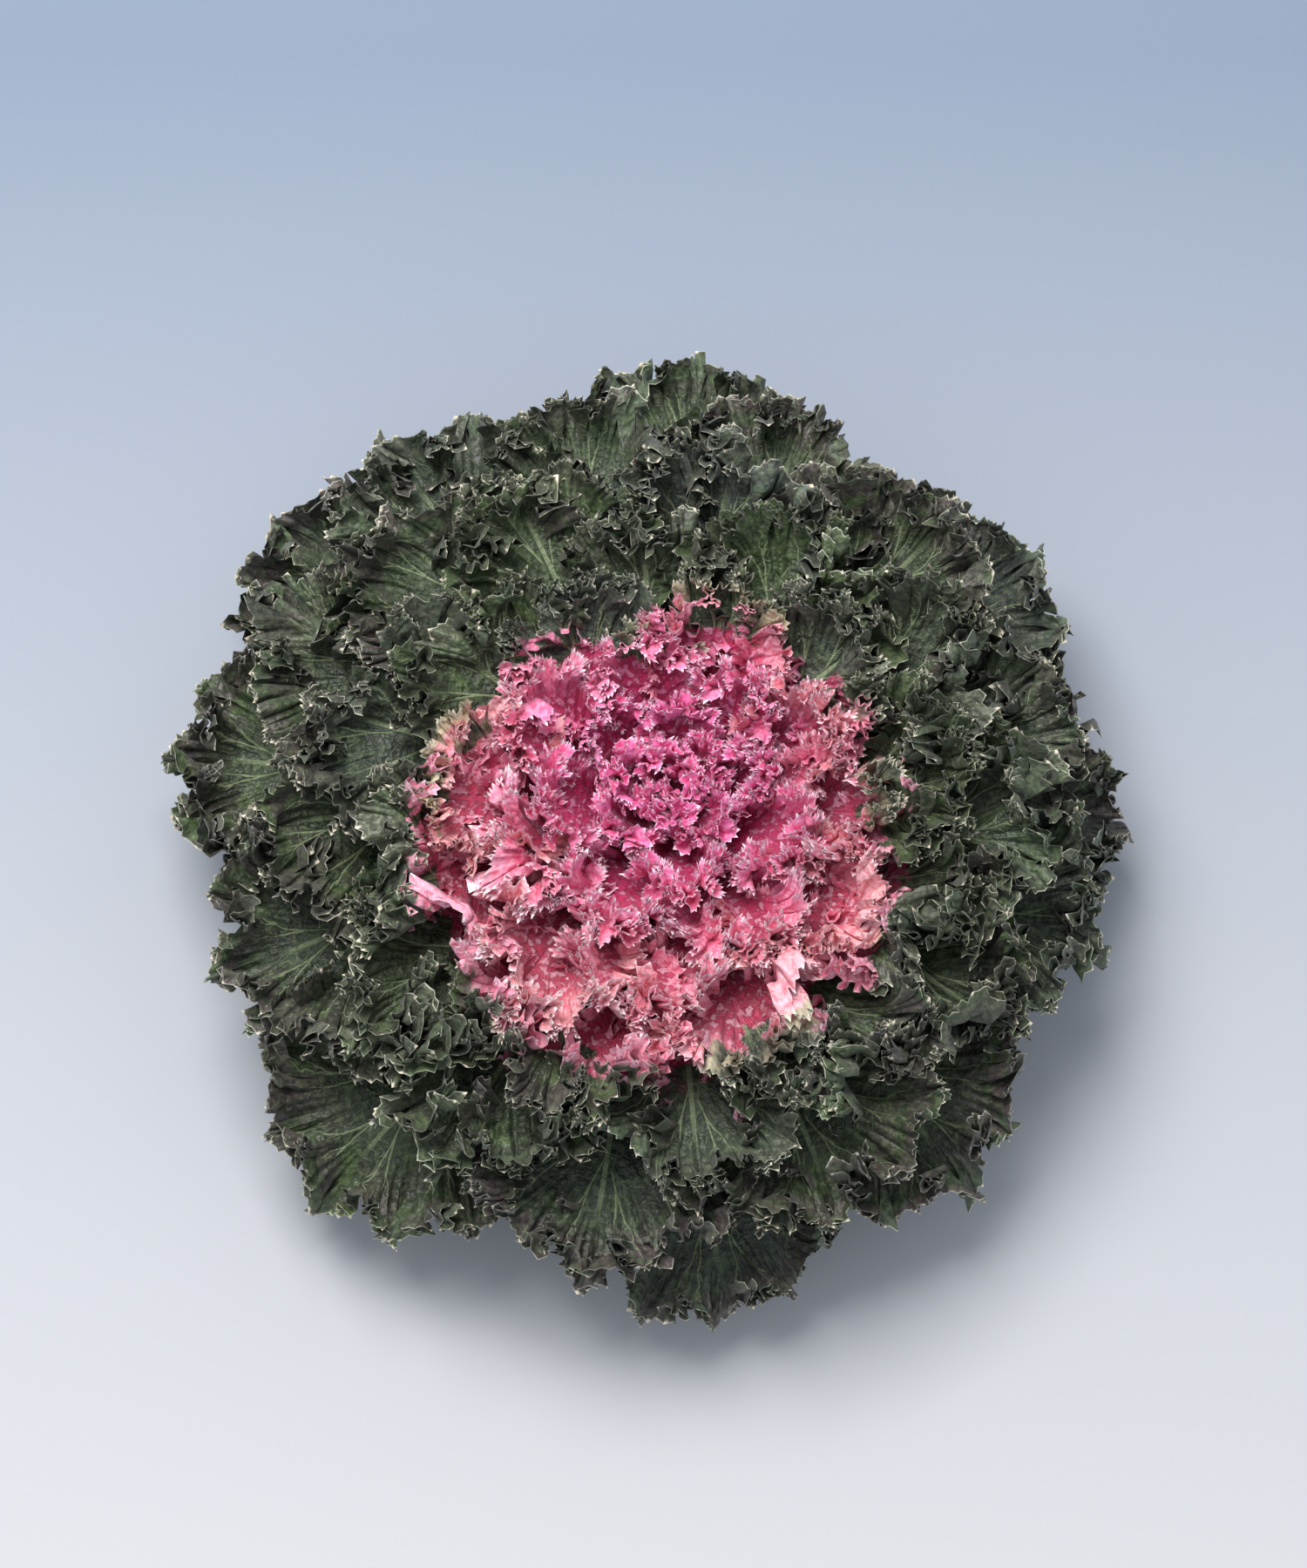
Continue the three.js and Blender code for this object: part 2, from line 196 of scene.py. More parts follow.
colour = blend_colour(tree, on_cut, skin, pith)
grain = add_node(tree, "ShaderNodeBump", {"Strength": 0.5, "Distance": 0.0004, "Height": fibres})
shader = add_node(
    tree,
    "ShaderNodeBsdfPrincipled",
    {"Base Color": colour, "Roughness": 0.62, "Normal": grain.outputs[0]},
)
add_node(tree, "ShaderNodeOutputMaterial", (shader.outputs[0],))

stalk_points = stalk_grid()
stalk = new_piece(
    "stalk_finish",
    stalk_points.reshape(-1, 3),
    ring_faces(*stalk_points.shape[:2])[:, ::-1],
    stalk_skin,
)
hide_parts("stalk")

# ---- how the leaves lie ----------------------------------------------------------------------
# Leaves grow from the stalk one golden angle apart, the oldest lowest and longest. Each lies on
# its own shell, a surface round the stalk, and bends inwards where an older leaf is in its way.
HEAD_RADIUS = 206.0
CROWN_HEIGHT = 138.0
RIM_HEIGHT = 7.0
FULLNESS = 1.7  # power that crowds the tips of the outer leaves towards the rim
DROOP = 2.6  # power by which the tips sink from the crown to the rim
PROFILE_BEND = 0.38  # length of a profile's handles, as a share of its span
START_RISE = (25.0, 87.0)  # degrees above level at the stalk, for the outermost and the heart
TIP_SINK = (65.0, 60.0)  # degrees below level at the outermost tip, and above it at the heart's
LEAF_COUNT = 58
BUD_LEAVES = 8
ROSE_RADIUS = 110.0  # tips nearer than this to the rose centre belong to rose leaves
ROSE_CENTRE = np.array([-6.0, -22.0])
PETIOLE_SHARE = 0.33  # share of a leaf's length that is its bare stalk
INNERMOST = 0.03
HEART_DEPTH = BUD_SEAT
DEPTH_STEP = 0.005
SHARE_STEP = 0.01
DEEPEST_SHELL = 1.1
LAST_SHELL = 1.0999  # just short of the table's end
PROFILE_POINTS = 61
LEAST_SPACING = 20.0
INNER_RADIUS = 6.0  # nearer to the middle than this, a blade gets no narrower
BLUNTNESS = 0.7
OBOVATE = 0.35
TIP_CROWDING = 0.6
VEIN_RISE = 0.6
LOBE_SHARE = 0.1
FRILL_START = 0.4
CALM_SHARE = 0.35
AZIMUTH_CELLS = 180
SHARE_CELLS = 30


def bezier(foot, after, before, tip, t):
    """A cubic curve with two handles at share t of its parameter, and its direction there."""
    u = 1.0 - t
    at = u**3 * foot + 3 * u * u * t * after + 3 * u * t * t * before + t**3 * tip
    along = 3 * u * u * (after - foot) + 6 * u * t * (before - after) + 3 * t * t * (tip - before)
    return at, along


def shell_table():
    """Radius, height, direction and spacing on every shell, for steps of depth by steps of its
    length, and each shell's length. A profile is a cubic from the stalk to the leaf's tip, walked
    at even speed, and the spacing is how fast it moves, square to itself, as the depth grows."""
    depth = np.arange(0.0, DEEPEST_SHELL + DEPTH_STEP / 2, DEPTH_STEP)[:, None]
    foot = np.stack([seat_radius(depth), seat_height(depth)])
    tip_radius = HEAD_RADIUS * (1.0 - np.maximum(0.0, 1.0 - depth) ** FULLNESS)
    tip = np.stack([tip_radius, CROWN_HEIGHT - (CROWN_HEIGHT - RIM_HEIGHT) * depth**DROOP])
    handle = PROFILE_BEND * np.hypot(*(tip - foot))
    rise = np.radians(START_RISE[0] + (START_RISE[1] - START_RISE[0]) * (1.0 - depth))
    sink = np.radians(TIP_SINK[1] - (TIP_SINK[0] + TIP_SINK[1]) * depth)
    after = foot + handle * np.stack([np.cos(rise), np.sin(rise)])
    before = tip - handle * np.stack([np.cos(sink), np.sin(sink)])
    t = np.linspace(0.0, 1.0, PROFILE_POINTS)[None, :]
    at, _ = bezier(foot, after, before, tip, t)
    walked = np.concatenate(
        [np.zeros((len(depth), 1)), np.cumsum(np.hypot(*np.diff(at, axis=2)), axis=1)], axis=1
    )
    share = np.arange(0.0, 1.0 + SHARE_STEP / 2, SHARE_STEP)
    even_t = np.stack([np.interp(share * row[-1], row, t[0]) for row in walked])
    at, along = bezier(foot, after, before, tip, even_t)
    along /= np.hypot(*along)
    table = np.stack([at[0], at[1], along[0], along[1]], axis=-1)
    steps = 2  # on each side
    apart = (table[2 * steps :, :, :2] - table[: -2 * steps, :, :2]) / (2 * steps * DEPTH_STEP)
    side = np.abs(apart[..., 0] * along[1][steps:-steps] - apart[..., 1] * along[0][steps:-steps])
    gap = np.maximum(LEAST_SPACING, np.pad(side, ((steps, steps), (0, 0)), mode="edge"))
    return np.concatenate([table, gap[..., None]], axis=-1), walked[:, -1]


SHELLS, SHELL_LENGTHS = shell_table()


def on_shell(depth, share):
    """Radius, height, direction (two parts) and spacing, blended between the table's entries."""
    row = np.clip(depth, 0.0, LAST_SHELL) / DEPTH_STEP
    column = np.clip(share, 0.0, 1.0) / SHARE_STEP
    i = np.minimum(row.astype(int), len(SHELLS) - 2)
    j = np.minimum(column.astype(int), SHELLS.shape[1] - 2)
    a = (row - i)[..., None]
    b = (column - j)[..., None]
    low = SHELLS[i, j] * (1 - b) + SHELLS[i, j + 1] * b
    high = SHELLS[i + 1, j] * (1 - b) + SHELLS[i + 1, j + 1] * b
    return low * (1 - a) + high * a


def spacing(depth, share):
    """Millimetres, square to the shell, for one whole unit of depth."""
    return on_shell(np.clip(depth, 0.02, 0.98), np.clip(share, 0.0, 0.99))[..., 4]


def shell_radius(plan, share):
    """Distance from the stalk's middle line on the leaf's own shell, at some shares of its length."""
    own = on_shell(np.full(share.shape, plan["depth"]), share)
    return np.maximum(INNER_RADIUS, own[..., 0])


def chance(leaf, trait):
    """A fixed number from -1 to 1 for each leaf and trait: the fraction left of a large sine."""
    wave = math.sin(12.9898 * (leaf + 1) + 78.233 * trait) * 43758.5453
    return 2.0 * (wave - math.floor(wave)) - 1.0


def leaf_plan(leaf):
    """Where a leaf grows, its sizes and its waves. Leaves below 0 belong to the bud."""
    in_bud = leaf < 0
    youth = (leaf + BUD_LEAVES + 1) / (BUD_LEAVES + 1)
    age = max(0.0, leaf + 0.5) / LEAF_COUNT
    depth = (
        INNERMOST + (HEART_DEPTH - INNERMOST) * youth
        if in_bud
        else HEART_DEPTH + (1.0 - HEART_DEPTH) * age
    )
    azimuth = leaf * GOLDEN_ANGLE + math.radians(5.0) * chance(leaf, 1)
    tip_radius = HEAD_RADIUS * (1.0 - (1.0 - depth) ** FULLNESS)
    tip = tip_radius * np.array([math.cos(azimuth), math.sin(azimuth)])
    from_rose = float(np.hypot(*(tip - ROSE_CENTRE)))
    rose = from_rose < ROSE_RADIUS
    length = float(np.interp(depth, np.arange(len(SHELL_LENGTHS)) * DEPTH_STEP, SHELL_LENGTHS))
    rows = [0.0, 1.0] if in_bud else [0.0, 0.66, 1.0] if rose else [0.0, 0.52, 0.8, 1.0]
    return {
        "leaf": leaf,
        "rose": rose,
        "in_bud": in_bud,
        "from_rose": from_rose,
        "depth": depth,
        "azimuth": azimuth,
        "length": length,
        "width": (0.6 if rose else 0.68) * length * (1.0 + 0.08 * chance(leaf, 2)),
        "reach": 0.97 + 0.03 * chance(leaf, 3),
        "foot_width": 2.0 + 4.2 * depth,
        "foot_thickness": 1.4 + 3.2 * depth,
        "waves": 5 if in_bud else 7 if rose else 9,
        "wave_height": 1.5 if in_bud else (0.022 + 0.015 * depth) * length,
        "clearance": 3.0 if rose else 3.2,
        "rows": np.array(rows),
    }


def blade_point(plan, even, row, crest):
    """A place on the flat blade: even runs along the margin from -1 by the tip at 0 to 1, and row
    from the midrib at 0 to the margin at 1. Gives the distance sideways, the share of the leaf's
    length, and the lift of the large waves, which also lengthen the outer rows a little."""
    turn = even * (TIP_CROWDING + (1.0 - TIP_CROWDING) * even * even)
    circle = math.pi * turn
    neck = PETIOLE_SHARE * plan["length"]
    blade = plan["length"] * plan["reach"] - neck
    edge_x = plan["width"] / 2 * np.sin(circle) * (1.0 + OBOVATE * np.cos(circle))
    edge_x = edge_x + np.sign(turn) * plan["foot_width"] * smooth(np.abs(turn), 0.7, 1.0)
    edge_y = neck + blade * ((1.0 + np.cos(circle)) / 2.0) ** BLUNTNESS
    rib = neck + VEIN_RISE * blade * (1.0 - np.abs(even))
    frill = np.maximum(0.0, (row - FRILL_START) / (1.0 - FRILL_START)) ** 1.4
    wave = crest * frill * smooth(1.0 - np.abs(turn), 0.0, CALM_SHARE)
    stretch = row * (1.0 + LOBE_SHARE * wave)
    share = np.minimum(1.06, (rib + (edge_y - rib) * stretch) / plan["length"])
    return edge_x * stretch, share, plan["wave_height"] * wave


def cell_of(azimuth, share):
    """The cell of a grid of azimuths by shares."""
    turns = azimuth / (2.0 * math.pi)
    column = np.floor((turns - np.floor(turns)) * AZIMUTH_CELLS).astype(int) % AZIMUTH_CELLS
    row = np.clip(np.floor(share * SHARE_CELLS).astype(int), 0, SHARE_CELLS - 1)
    return column * SHARE_CELLS + row


# Places spread over a triangle, each as the shares of its three corners.
SPOTS = np.array([[i, j, 5 - i - j] for i in range(6) for j in range(6 - i)]) / 5.0


def lay_leaf(plan, innermost_blade):
    """Depths of a coarse leaf, bent clear of the older leaves. A grid of cells keeps the depth of
    the innermost blade so far; a point that comes nearer than the clearance moves in, and so does
    one from which the blade would climb off its shell too steeply."""
    rows, columns = plan["rows"], 2 * plan["waves"]
    last = len(rows) - 1
    even = 2.0 * np.arange(columns + 1) / columns - 1.0
    crest = np.where(np.arange(columns + 1) % 2, -1.0, 1.0)
    x, share, lift = blade_point(plan, even[None, :], rows[:, None], crest[None, :])
    across = np.concatenate([-rows[:0:-1], rows])
    x = np.concatenate([x.ravel(), across * plan["foot_width"]])
    share = np.concatenate([share.ravel(), np.zeros(len(across))])
    lift = np.concatenate([lift.ravel(), np.zeros(len(across))])
    radius = shell_radius(plan, share)
    azimuth = plan["azimuth"] + x / radius
    depth = plan["depth"] - lift / spacing(np.full(len(x), plan["depth"]), share)

    grid = np.arange((last + 1) * (columns + 1)).reshape(last + 1, columns + 1)
    grid[0] = np.minimum(grid[0], grid[0][::-1])
    foot = (last + 1) * (columns + 1) + np.arange(len(across))
    neck = np.concatenate([grid[:0:-1, 0], grid[:, -1]])
    neck[last] = grid[0, -1]
    a, b, c, d = grid[:-1, :-1], grid[1:, :-1], grid[1:, 1:], grid[:-1, 1:]
    left = np.arange(columns)[None, :] < columns / 2
    first = np.stack([a, b, np.where(left, d, c)], axis=-1).reshape(-1, 3)
    second = np.stack([np.where(left, b, a), c, d], axis=-1).reshape(-1, 3)
    stem = np.concatenate(
        [
            np.stack([foot[:-1], neck[:-1], neck[1:]], axis=-1),
            np.stack([foot[:-1], neck[1:], foot[1:]], axis=-1),
        ]
    )
    triangles = np.concatenate([first, second, stem])
    ends = np.concatenate([triangles[:, [0, 1]], triangles[:, [1, 2]], triangles[:, [2, 0]]])
    one, other = ends.T
    run = np.hypot(
        (azimuth[one] - azimuth[other]) * np.maximum(radius[one], radius[other]),
        (share[one] - share[other]) * plan["length"],
    )
    spot_azimuth, spot_share = azimuth[triangles] @ SPOTS.T, share[triangles] @ SPOTS.T
    cells = cell_of(spot_azimuth, spot_share)
    for _ in range(6):
        spot_depth = depth[triangles] @ SPOTS.T
        room = plan["clearance"] / spacing(spot_depth, spot_share)
        excess = np.maximum(0.0, spot_depth + room - innermost_blade[cells])
        excess = np.where(spot_share < PETIOLE_SHARE, 0.0, excess)
        bend = np.zeros(len(depth))
        pull = excess[:, :, None] * np.minimum(1.0, 3.0 * SPOTS)[None]
        np.maximum.at(bend, np.broadcast_to(triangles[:, None, :], pull.shape), pull)
        depth = np.where(share > 0.12, np.maximum(0.004, depth - bend), depth)
        for _ in range(2):
            inner = np.where(depth[one] < depth[other], one, other)
            outer = ends.sum(axis=1) - inner
            climb = 1.2 * run / spacing(depth[outer], share[outer])
            np.minimum.at(depth, outer, depth[inner] + climb)
    spot_depth = depth[triangles] @ SPOTS.T
    np.minimum.at(innermost_blade, cells, spot_depth)
    plan["cells"], plan["cell_depths"] = cells, spot_depth
    return depth[grid]


innermost_blade = np.full(AZIMUTH_CELLS * SHARE_CELLS, 9.0)
plans = [leaf_plan(leaf) for leaf in range(LEAF_COUNT - 1, -BUD_LEAVES - 1, -1)]
for plan in plans:
    plan["laid"] = lay_leaf(plan, innermost_blade)
cover = np.full(AZIMUTH_CELLS * SHARE_CELLS, -9.0)  # depth of the outermost blade that lies above
for plan in reversed(plans):
    plan["cover"] = cover.copy()
    np.maximum.at(cover, plan["cells"], plan["cell_depths"])

# ---- leaf shapes -----------------------------------------------------------------------------
# A blade is thin, with a thick midrib under it. Towards the margin it has grown faster than the
# rest of the leaf, so it is thrown into waves on waves, and the margin itself is cut into teeth.
BLADE_THICKNESS = 0.5
ABOVE_MIDDLE = 0.2  # share of the thickness that lies above a leaf's middle surface
ROW_STEPS = np.array([0.0, 0.14, 0.28, 0.42, 0.56, 0.7, 0.82, 0.92, 1.0])
ROW_STRIDES = np.array([12, 12, 4, 4, 4, 2, 2, 1, 1])  # a row keeps one column in so many
STALK_STATIONS = 8
COVERED_FRILL = 0.45  # share of its frilling that a margin keeps under another leaf
LEAST_KEPT = 0.22  # a margin never folds up into less than this share of its length
SHARPEST_HEADING = 3.0
LOWEST_POINT = 0.4  # the leaves' clearance over the surface that the head stands on
MARGIN_SAMPLES = 1201
MARGIN_CHECKS = (0.0, 4.0)  # how far in from the margin a covering leaf is looked for
FREE_GAPS = (0.5, 7.0)  # gaps to the leaf above at which a margin counts as covered, and as free


def through(values, at):
    """Values given at whole numbers along the last axis, read at any place on smooth cubics."""
    low = np.clip(np.floor(at).astype(int), 0, values.shape[-1] - 2)
    t = at - low
    top = values.shape[-1] - 1
    before, here = values[..., np.maximum(low - 1, 0)], values[..., low]
    after, beyond = values[..., low + 1], values[..., np.minimum(low + 2, top)]
    slope_in, slope_out = (after - before) / 2.0, (beyond - here) / 2.0
    bulge = here * (2 * t**3 - 3 * t**2 + 1) + after * (3 * t**2 - 2 * t**3)
    return bulge + slope_in * (t**3 - 2 * t**2 + t) + slope_out * (t**3 - t**2)


def across_rows(values, rows, at):
    """Values given on a few rows, read at finer rows, on cubics with the rows' own slopes."""
    if len(rows) == 2:
        return values[:1] + (values[1:] - values[:1]) * at[:, None]
    slope = np.gradient(values, rows, axis=0)
    k = np.clip(np.searchsorted(rows, at, side="right") - 1, 0, len(rows) - 2)
    gap = (rows[k + 1] - rows[k])[:, None]
    t = (at - rows[k])[:, None] / gap
    bulge = values[k] * (2 * t**3 - 3 * t**2 + 1) + values[k + 1] * (3 * t**2 - 2 * t**3)
    return bulge + gap * (slope[k] * (t**3 - 2 * t**2 + t) + slope[k + 1] * (t**3 - t**2))


def in_space(plan, depth, share, azimuth):
    """Points from depth, share and azimuth. Past the shell's end a point goes on straight."""
    end = on_shell(depth, share)
    rim = on_shell(depth, np.ones_like(share))
    past = np.maximum(0.0, share - 1.0) * plan["length"]
    radius = end[..., 0] + rim[..., 2] * past
    height = end[..., 1] + rim[..., 3] * past
    return leaned(np.stack([radius * np.cos(azimuth), radius * np.sin(azimuth), height], axis=-1))


def unit(vectors):
    """The vectors, each one long."""
    return vectors / np.maximum(1e-9, np.linalg.norm(vectors, axis=-1, keepdims=True))


def grid_frame(points):
    """Directions along the columns and the rows of a grid of points, and square to both."""
    along = unit(np.gradient(points, axis=1))
    outward = unit(np.gradient(points, axis=0))
    return along, outward, unit(np.cross(outward, along))


def wander(seed, at, waves, strength):
    """A smooth, irregular curve: a few sines with lengths and starts drawn from the seed."""
    draw = np.random.default_rng(seed)
    total = np.zeros_like(at)
    for _ in range(4):
        pace, start = draw.uniform(0.5, 1.5), draw.uniform(0, 2 * math.pi)
        total += np.sin(at * waves * math.pi * pace + start)
    return strength * total / 2.0


def running_mean(values, width):
    """Each row's mean over a window of that many columns, taken twice."""
    half = width // 2
    span = 2 * half + 1
    for _ in range(2):
        total = np.cumsum(np.pad(values, ((0, 0), (half + 1, half)), mode="edge"), axis=1)
        values = (total[:, span:] - total[:, :-span]) / span
    return values


def laid_margin(plan, even):
    """The margin of a leaf as the plan lays it, and how far it is free of the leaves above it: 0
    under another leaf, 1 clear of them. even runs from -1 at one foot over the tip to 1."""
    c = (even + 1.0) * plan["waves"]
    x, share, _ = blade_point(plan, even, np.ones(len(even)), np.cos(math.pi * c))
    depth = through(across_rows(plan["laid"], plan["rows"], ROW_STEPS[-1:]), c)[0]
    azimuth = plan["azimuth"] + x / shell_radius(plan, share)
    free = np.ones(len(even))
    for back in MARGIN_CHECKS:
        at = np.maximum(0.0, share - back / plan["length"])
        gap = (depth - plan["cover"][cell_of(azimuth, at)]) * spacing(depth, at)
        free = np.minimum(free, smooth(gap, *FREE_GAPS))
    return in_space(plan, depth, share, azimuth), free


def margin_columns(plan, count):
    """Where a blade's columns stand: evenly along the length of its margin, but closer together
    where no leaf covers it. Both halves are alike, so that they meet on the midrib."""
    even = np.linspace(-1.0, 1.0, MARGIN_SAMPLES)
    points, free = laid_margin(plan, even)
    steps = np.linalg.norm(np.diff(points, axis=0), axis=-1) * (0.4 + 0.3 * (free[1:] + free[:-1]))
    steps = running_mean((steps + steps[::-1])[None, :], 61)[0]
    walked = np.concatenate([[0.0], np.cumsum(0.5 * (steps + steps[::-1]))])
    even = np.interp(np.linspace(0.0, walked[-1], count + 1), walked, even)
    return 0.5 * (even - even[::-1])


def column_steps(points, at):
    """How far apart the columns of a grid are, for one unit of at, evened out along its rows."""
    steps = np.linalg.norm(np.gradient(points, at, axis=1), axis=-1)
    return running_mean(steps, len(at) // 60)


def rolled(points, frill, even, crest, strength, seed):
    """The blade with its outer band rolled up: the rows go on along a circle's arc, tighter where
    the frilling is strong. Also how far into that band each row is, from 0 to 1."""
    _, outward, up = grid_frame(points)
    start = frill["from"]
    level = int(np.searchsorted(ROW_STEPS, start))
    band = np.linalg.norm(points[-1] - points[level], axis=-1)[None, :]
    part = np.clip((ROW_STEPS[:, None] - start) / (1.0 - start), 0.0, 1.0)
    swing = 1.0 + frill["roll_swing"] * crest + wander(seed + 60, even, 9, 0.25)[None, :]
    roll = np.maximum(0.02, frill["roll"] * strength * swing)
    lean_up, lean_out = (1.0 - np.cos(roll * part)) / roll, np.sin(roll * part) / roll - part
    points = points + (band * lean_up)[..., None] * up[level][None]
    return points + (band * lean_out)[..., None] * outward[level][None], part


def folded(points, frill, even, part, strength, seed):
    """The blade wound like a river along its margin: the heading swings to and fro as a sum of
    sines, each shorter and nearer to the margin than the one before, and the steps along that
    heading are summed up. Where columns are far apart the folds are longer and lower. The margin
    is cut back between the longest folds."""
    along, outward, up = grid_frame(points)
    step = column_steps(points, np.arange(float(len(even))))
    heading, turns = np.zeros(points.shape[:2]), []
    for order, (length, bend, low) in enumerate(frill["folds"]):
        fine = np.minimum(1.0, length / (frill["fold_columns"] * step[-1]))
        at = np.cumsum(step[-1] / length * fine)
        turns.append(2.0 * math.pi * at + wander(seed + 500 + order, at, 0.8, 0.9))
        uneven = 1.0 + wander(seed + 900 + order, at, 0.6, 0.2)
        swing = uneven * fine**0.6 * np.sin(turns[order])
        heading += bend * smooth(ROW_STEPS[:, None], low, 0.94) * swing[None, :]
    heading = np.clip(heading, -SHARPEST_HEADING, SHARPEST_HEADING) * strength
    window = int(frill["folds"][0][0] / np.median(step[-1]))
    kept = np.maximum(LEAST_KEPT, running_mean(np.cos(heading), window))
    sway = np.cumsum(step * (np.cos(heading) / kept - 1.0), axis=1)
    lift = np.cumsum(step * np.sin(heading) / kept, axis=1)
    sway, lift = sway - running_mean(sway, window), lift - running_mean(lift, window)
    tame = np.minimum(1.0, 1.2 * np.median(step[-1]) / step[-1])
    sway, lift = (sway * tame)[..., None], (lift * tame)[..., None]
    cut = (0.5 + 0.5 * np.cos(turns[0])) ** 3 * (1.0 + wander(seed + 40, even, 9, 0.5))
    cut = frill["notch"] * cut[None, :] * strength * part**2
    return points + sway * along + lift * up - cut[..., None] * outward


def toothed(points, frill, calm, draw):
    """The blade with its last row drawn out into teeth of uneven length and tilt, its upward
    directions without them, and how pointed each column of that row is."""
    along, outward, up = grid_frame(points)
    count = points.shape[1]
    peaks = np.arange(count) % frill["tooth_columns"] == 0
    teeth = np.where(peaks, draw.uniform(0.4, 1.3, count), -0.35)
    reach = (0.3 + 0.7 * calm) * frill["tooth"] * teeth
    tilt = calm * frill["tooth"] * draw.uniform(-0.45, 0.45, count)
    points[-1] += reach[:, None] * outward[-1]
    points[-1] += tilt[:, None] * up[-1] + 0.5 * np.roll(tilt, 1)[:, None] * along[-1]
    return points, up, np.maximum(0.0, teeth)


def blade_grid(plan, count, frill):
    """The middle surface of a blade, as a grid of rows by count + 1 columns, its upward directions
    and what its finish needs. It follows the laid leaf's large waves, and its outer band is then
    rolled, folded and toothed, all the less where another leaf lies on it."""
    seed = 1000 + plan["leaf"]
    draw = np.random.default_rng(seed)
    even = margin_columns(plan, count)
    c = (even + 1.0) * plan["waves"]
    crest = np.cos(math.pi * c)[None, :]
    x, share, _ = blade_point(plan, even[None, :], ROW_STEPS[:, None], crest)
    depth = through(across_rows(plan["laid"], plan["rows"], ROW_STEPS), c)
    points = in_space(plan, depth, share, plan["azimuth"] + x / shell_radius(plan, share))

    calm = smooth(1.0 - np.abs(even), 0.02, 0.2)
    free = running_mean(laid_margin(plan, even)[1][None, :], count // 30)
    strength = 1.0 - frill["outer_calm"] * smooth(plan["depth"], 0.84, 1.0)
    strength = strength * (1.0 + 0.15 * draw.uniform(-1.0, 1.0))
    strength = strength * (COVERED_FRILL + (1.0 - COVERED_FRILL) * free) * calm
    points, part = rolled(points, frill, even, crest, strength, seed)
    points = folded(points, frill, even, part, strength, seed)
    pitch = column_steps(points, c)
    points, up, pointed = toothed(points, frill, calm, draw)

    steps = np.linalg.norm(np.diff(points, axis=0), axis=-1)
    to_edge = np.concatenate([np.cumsum(steps[::-1], axis=0)[::-1], np.zeros((1, count + 1))])
    tip = np.zeros(x.shape)
    tip[-1] = pointed
    wave, row = np.broadcast_to(c, x.shape), np.broadcast_to(ROW_STEPS[:, None], x.shape)
    apart = 300.0 * (plan["leaf"] + BUD_LEAVES)  # each leaf has its own place in the flat patterns
    return points, up, {
        "rim": np.stack([to_edge, tip], axis=-1),
        "vein": np.stack([wave, row, pitch], axis=-1),
        "flat": np.stack([x + apart, share * plan["length"], x], axis=-1),
    }


def petiole_grid(plan, neck_depth):
    """The leaf stalk's middle surface: a strip that widens towards its foot on the stalk. Also its
    places on the flat leaf, and their shares of its half width."""
    across = np.concatenate([-ROW_STEPS[:0:-1], ROW_STEPS])[None, :]
    share = np.linspace(-0.012, PETIOLE_SHARE, STALK_STATIONS, endpoint=False)[:, None]
    part = np.clip(share / PETIOLE_SHARE, 0.0, 1.0)
    width = plan["foot_width"] * (1.0 + 0.35 * (1.0 - part) ** 3)
    depth = plan["depth"] + (neck_depth[None, :] - plan["depth"]) * smooth(part, 0.2, 1.0)
    x = across * width
    turned = plan["azimuth"] + x / shell_radius(plan, share)
    share = np.broadcast_to(share, x.shape)
    points = in_space(plan, depth, np.maximum(share, 0.0), turned)
    foot = on_shell(depth, np.zeros_like(share))
    back = np.minimum(share, 0.0)[..., None] * plan["length"]
    run, rise = foot[..., 2], foot[..., 3]
    inward = np.stack([run * np.cos(turned), run * np.sin(turned), rise], axis=-1)
    return points + back * inward, x, share * plan["length"], np.broadcast_to(across, x.shape)


def strip_faces(inner, outer, ratio):
    """Triangles between two rows of point numbers, with ratio outer steps to each inner step. Half
    of the outer steps fan from one inner point and the rest from the next."""
    a, d = inner[:-1], inner[1:]
    steps = [outer[k : len(outer) - ratio + k : ratio] for k in range(ratio)]
    steps.append(outer[ratio::ratio])
    middle = (ratio + 1) // 2
    fans = [(a, steps[k], steps[k + 1]) for k in range(middle)]
    fans += [(a, steps[middle], d)]
    fans += [(d, steps[k], steps[k + 1]) for k in range(middle, ratio)]
    return np.concatenate([np.stack(corners, axis=-1) for corners in fans])


def outward_faces(points, faces):
    """The faces of a closed skin, turned round if the volume they enclose comes out negative."""
    a, b, c = (points[faces[:, k]] for k in range(3))
    return faces if np.sum(a * np.cross(b, c)) > 0 else faces[:, ::-1]


def blade_thickness(plan, x, y, row):
    """How thick a blade is at places on the flat leaf: its skin, and a midrib that swells towards
    the leaf's foot and falls off to both sides as a bell curve. It thins towards the margin."""
    ripe = np.maximum(0.0, 1.0 - y / plan["length"]) ** 1.5
    rib = (plan["foot_thickness"] - BLADE_THICKNESS) * ripe
    rib_width = 0.9 + plan["foot_width"] * 0.55 * ripe
    thick = BLADE_THICKNESS + rib * np.exp(-((x / rib_width) ** 2))
    return thick * (1.0 - 0.3 * smooth(row, 0.85, 1.0))


def rim_faces(border, below):
    """Triangles from the upper skin's border to the lower skin, left out where the two meet."""
    here, after = border[:-1], border[1:]
    rim = np.concatenate(
        [
            np.stack([after, here, below[here]], axis=-1),
            np.stack([after, below[here], below[after]], axis=-1),
        ]
    )
    return rim[(rim[:, 0] != rim[:, 2]) & (rim[:, 1] != rim[:, 2])]


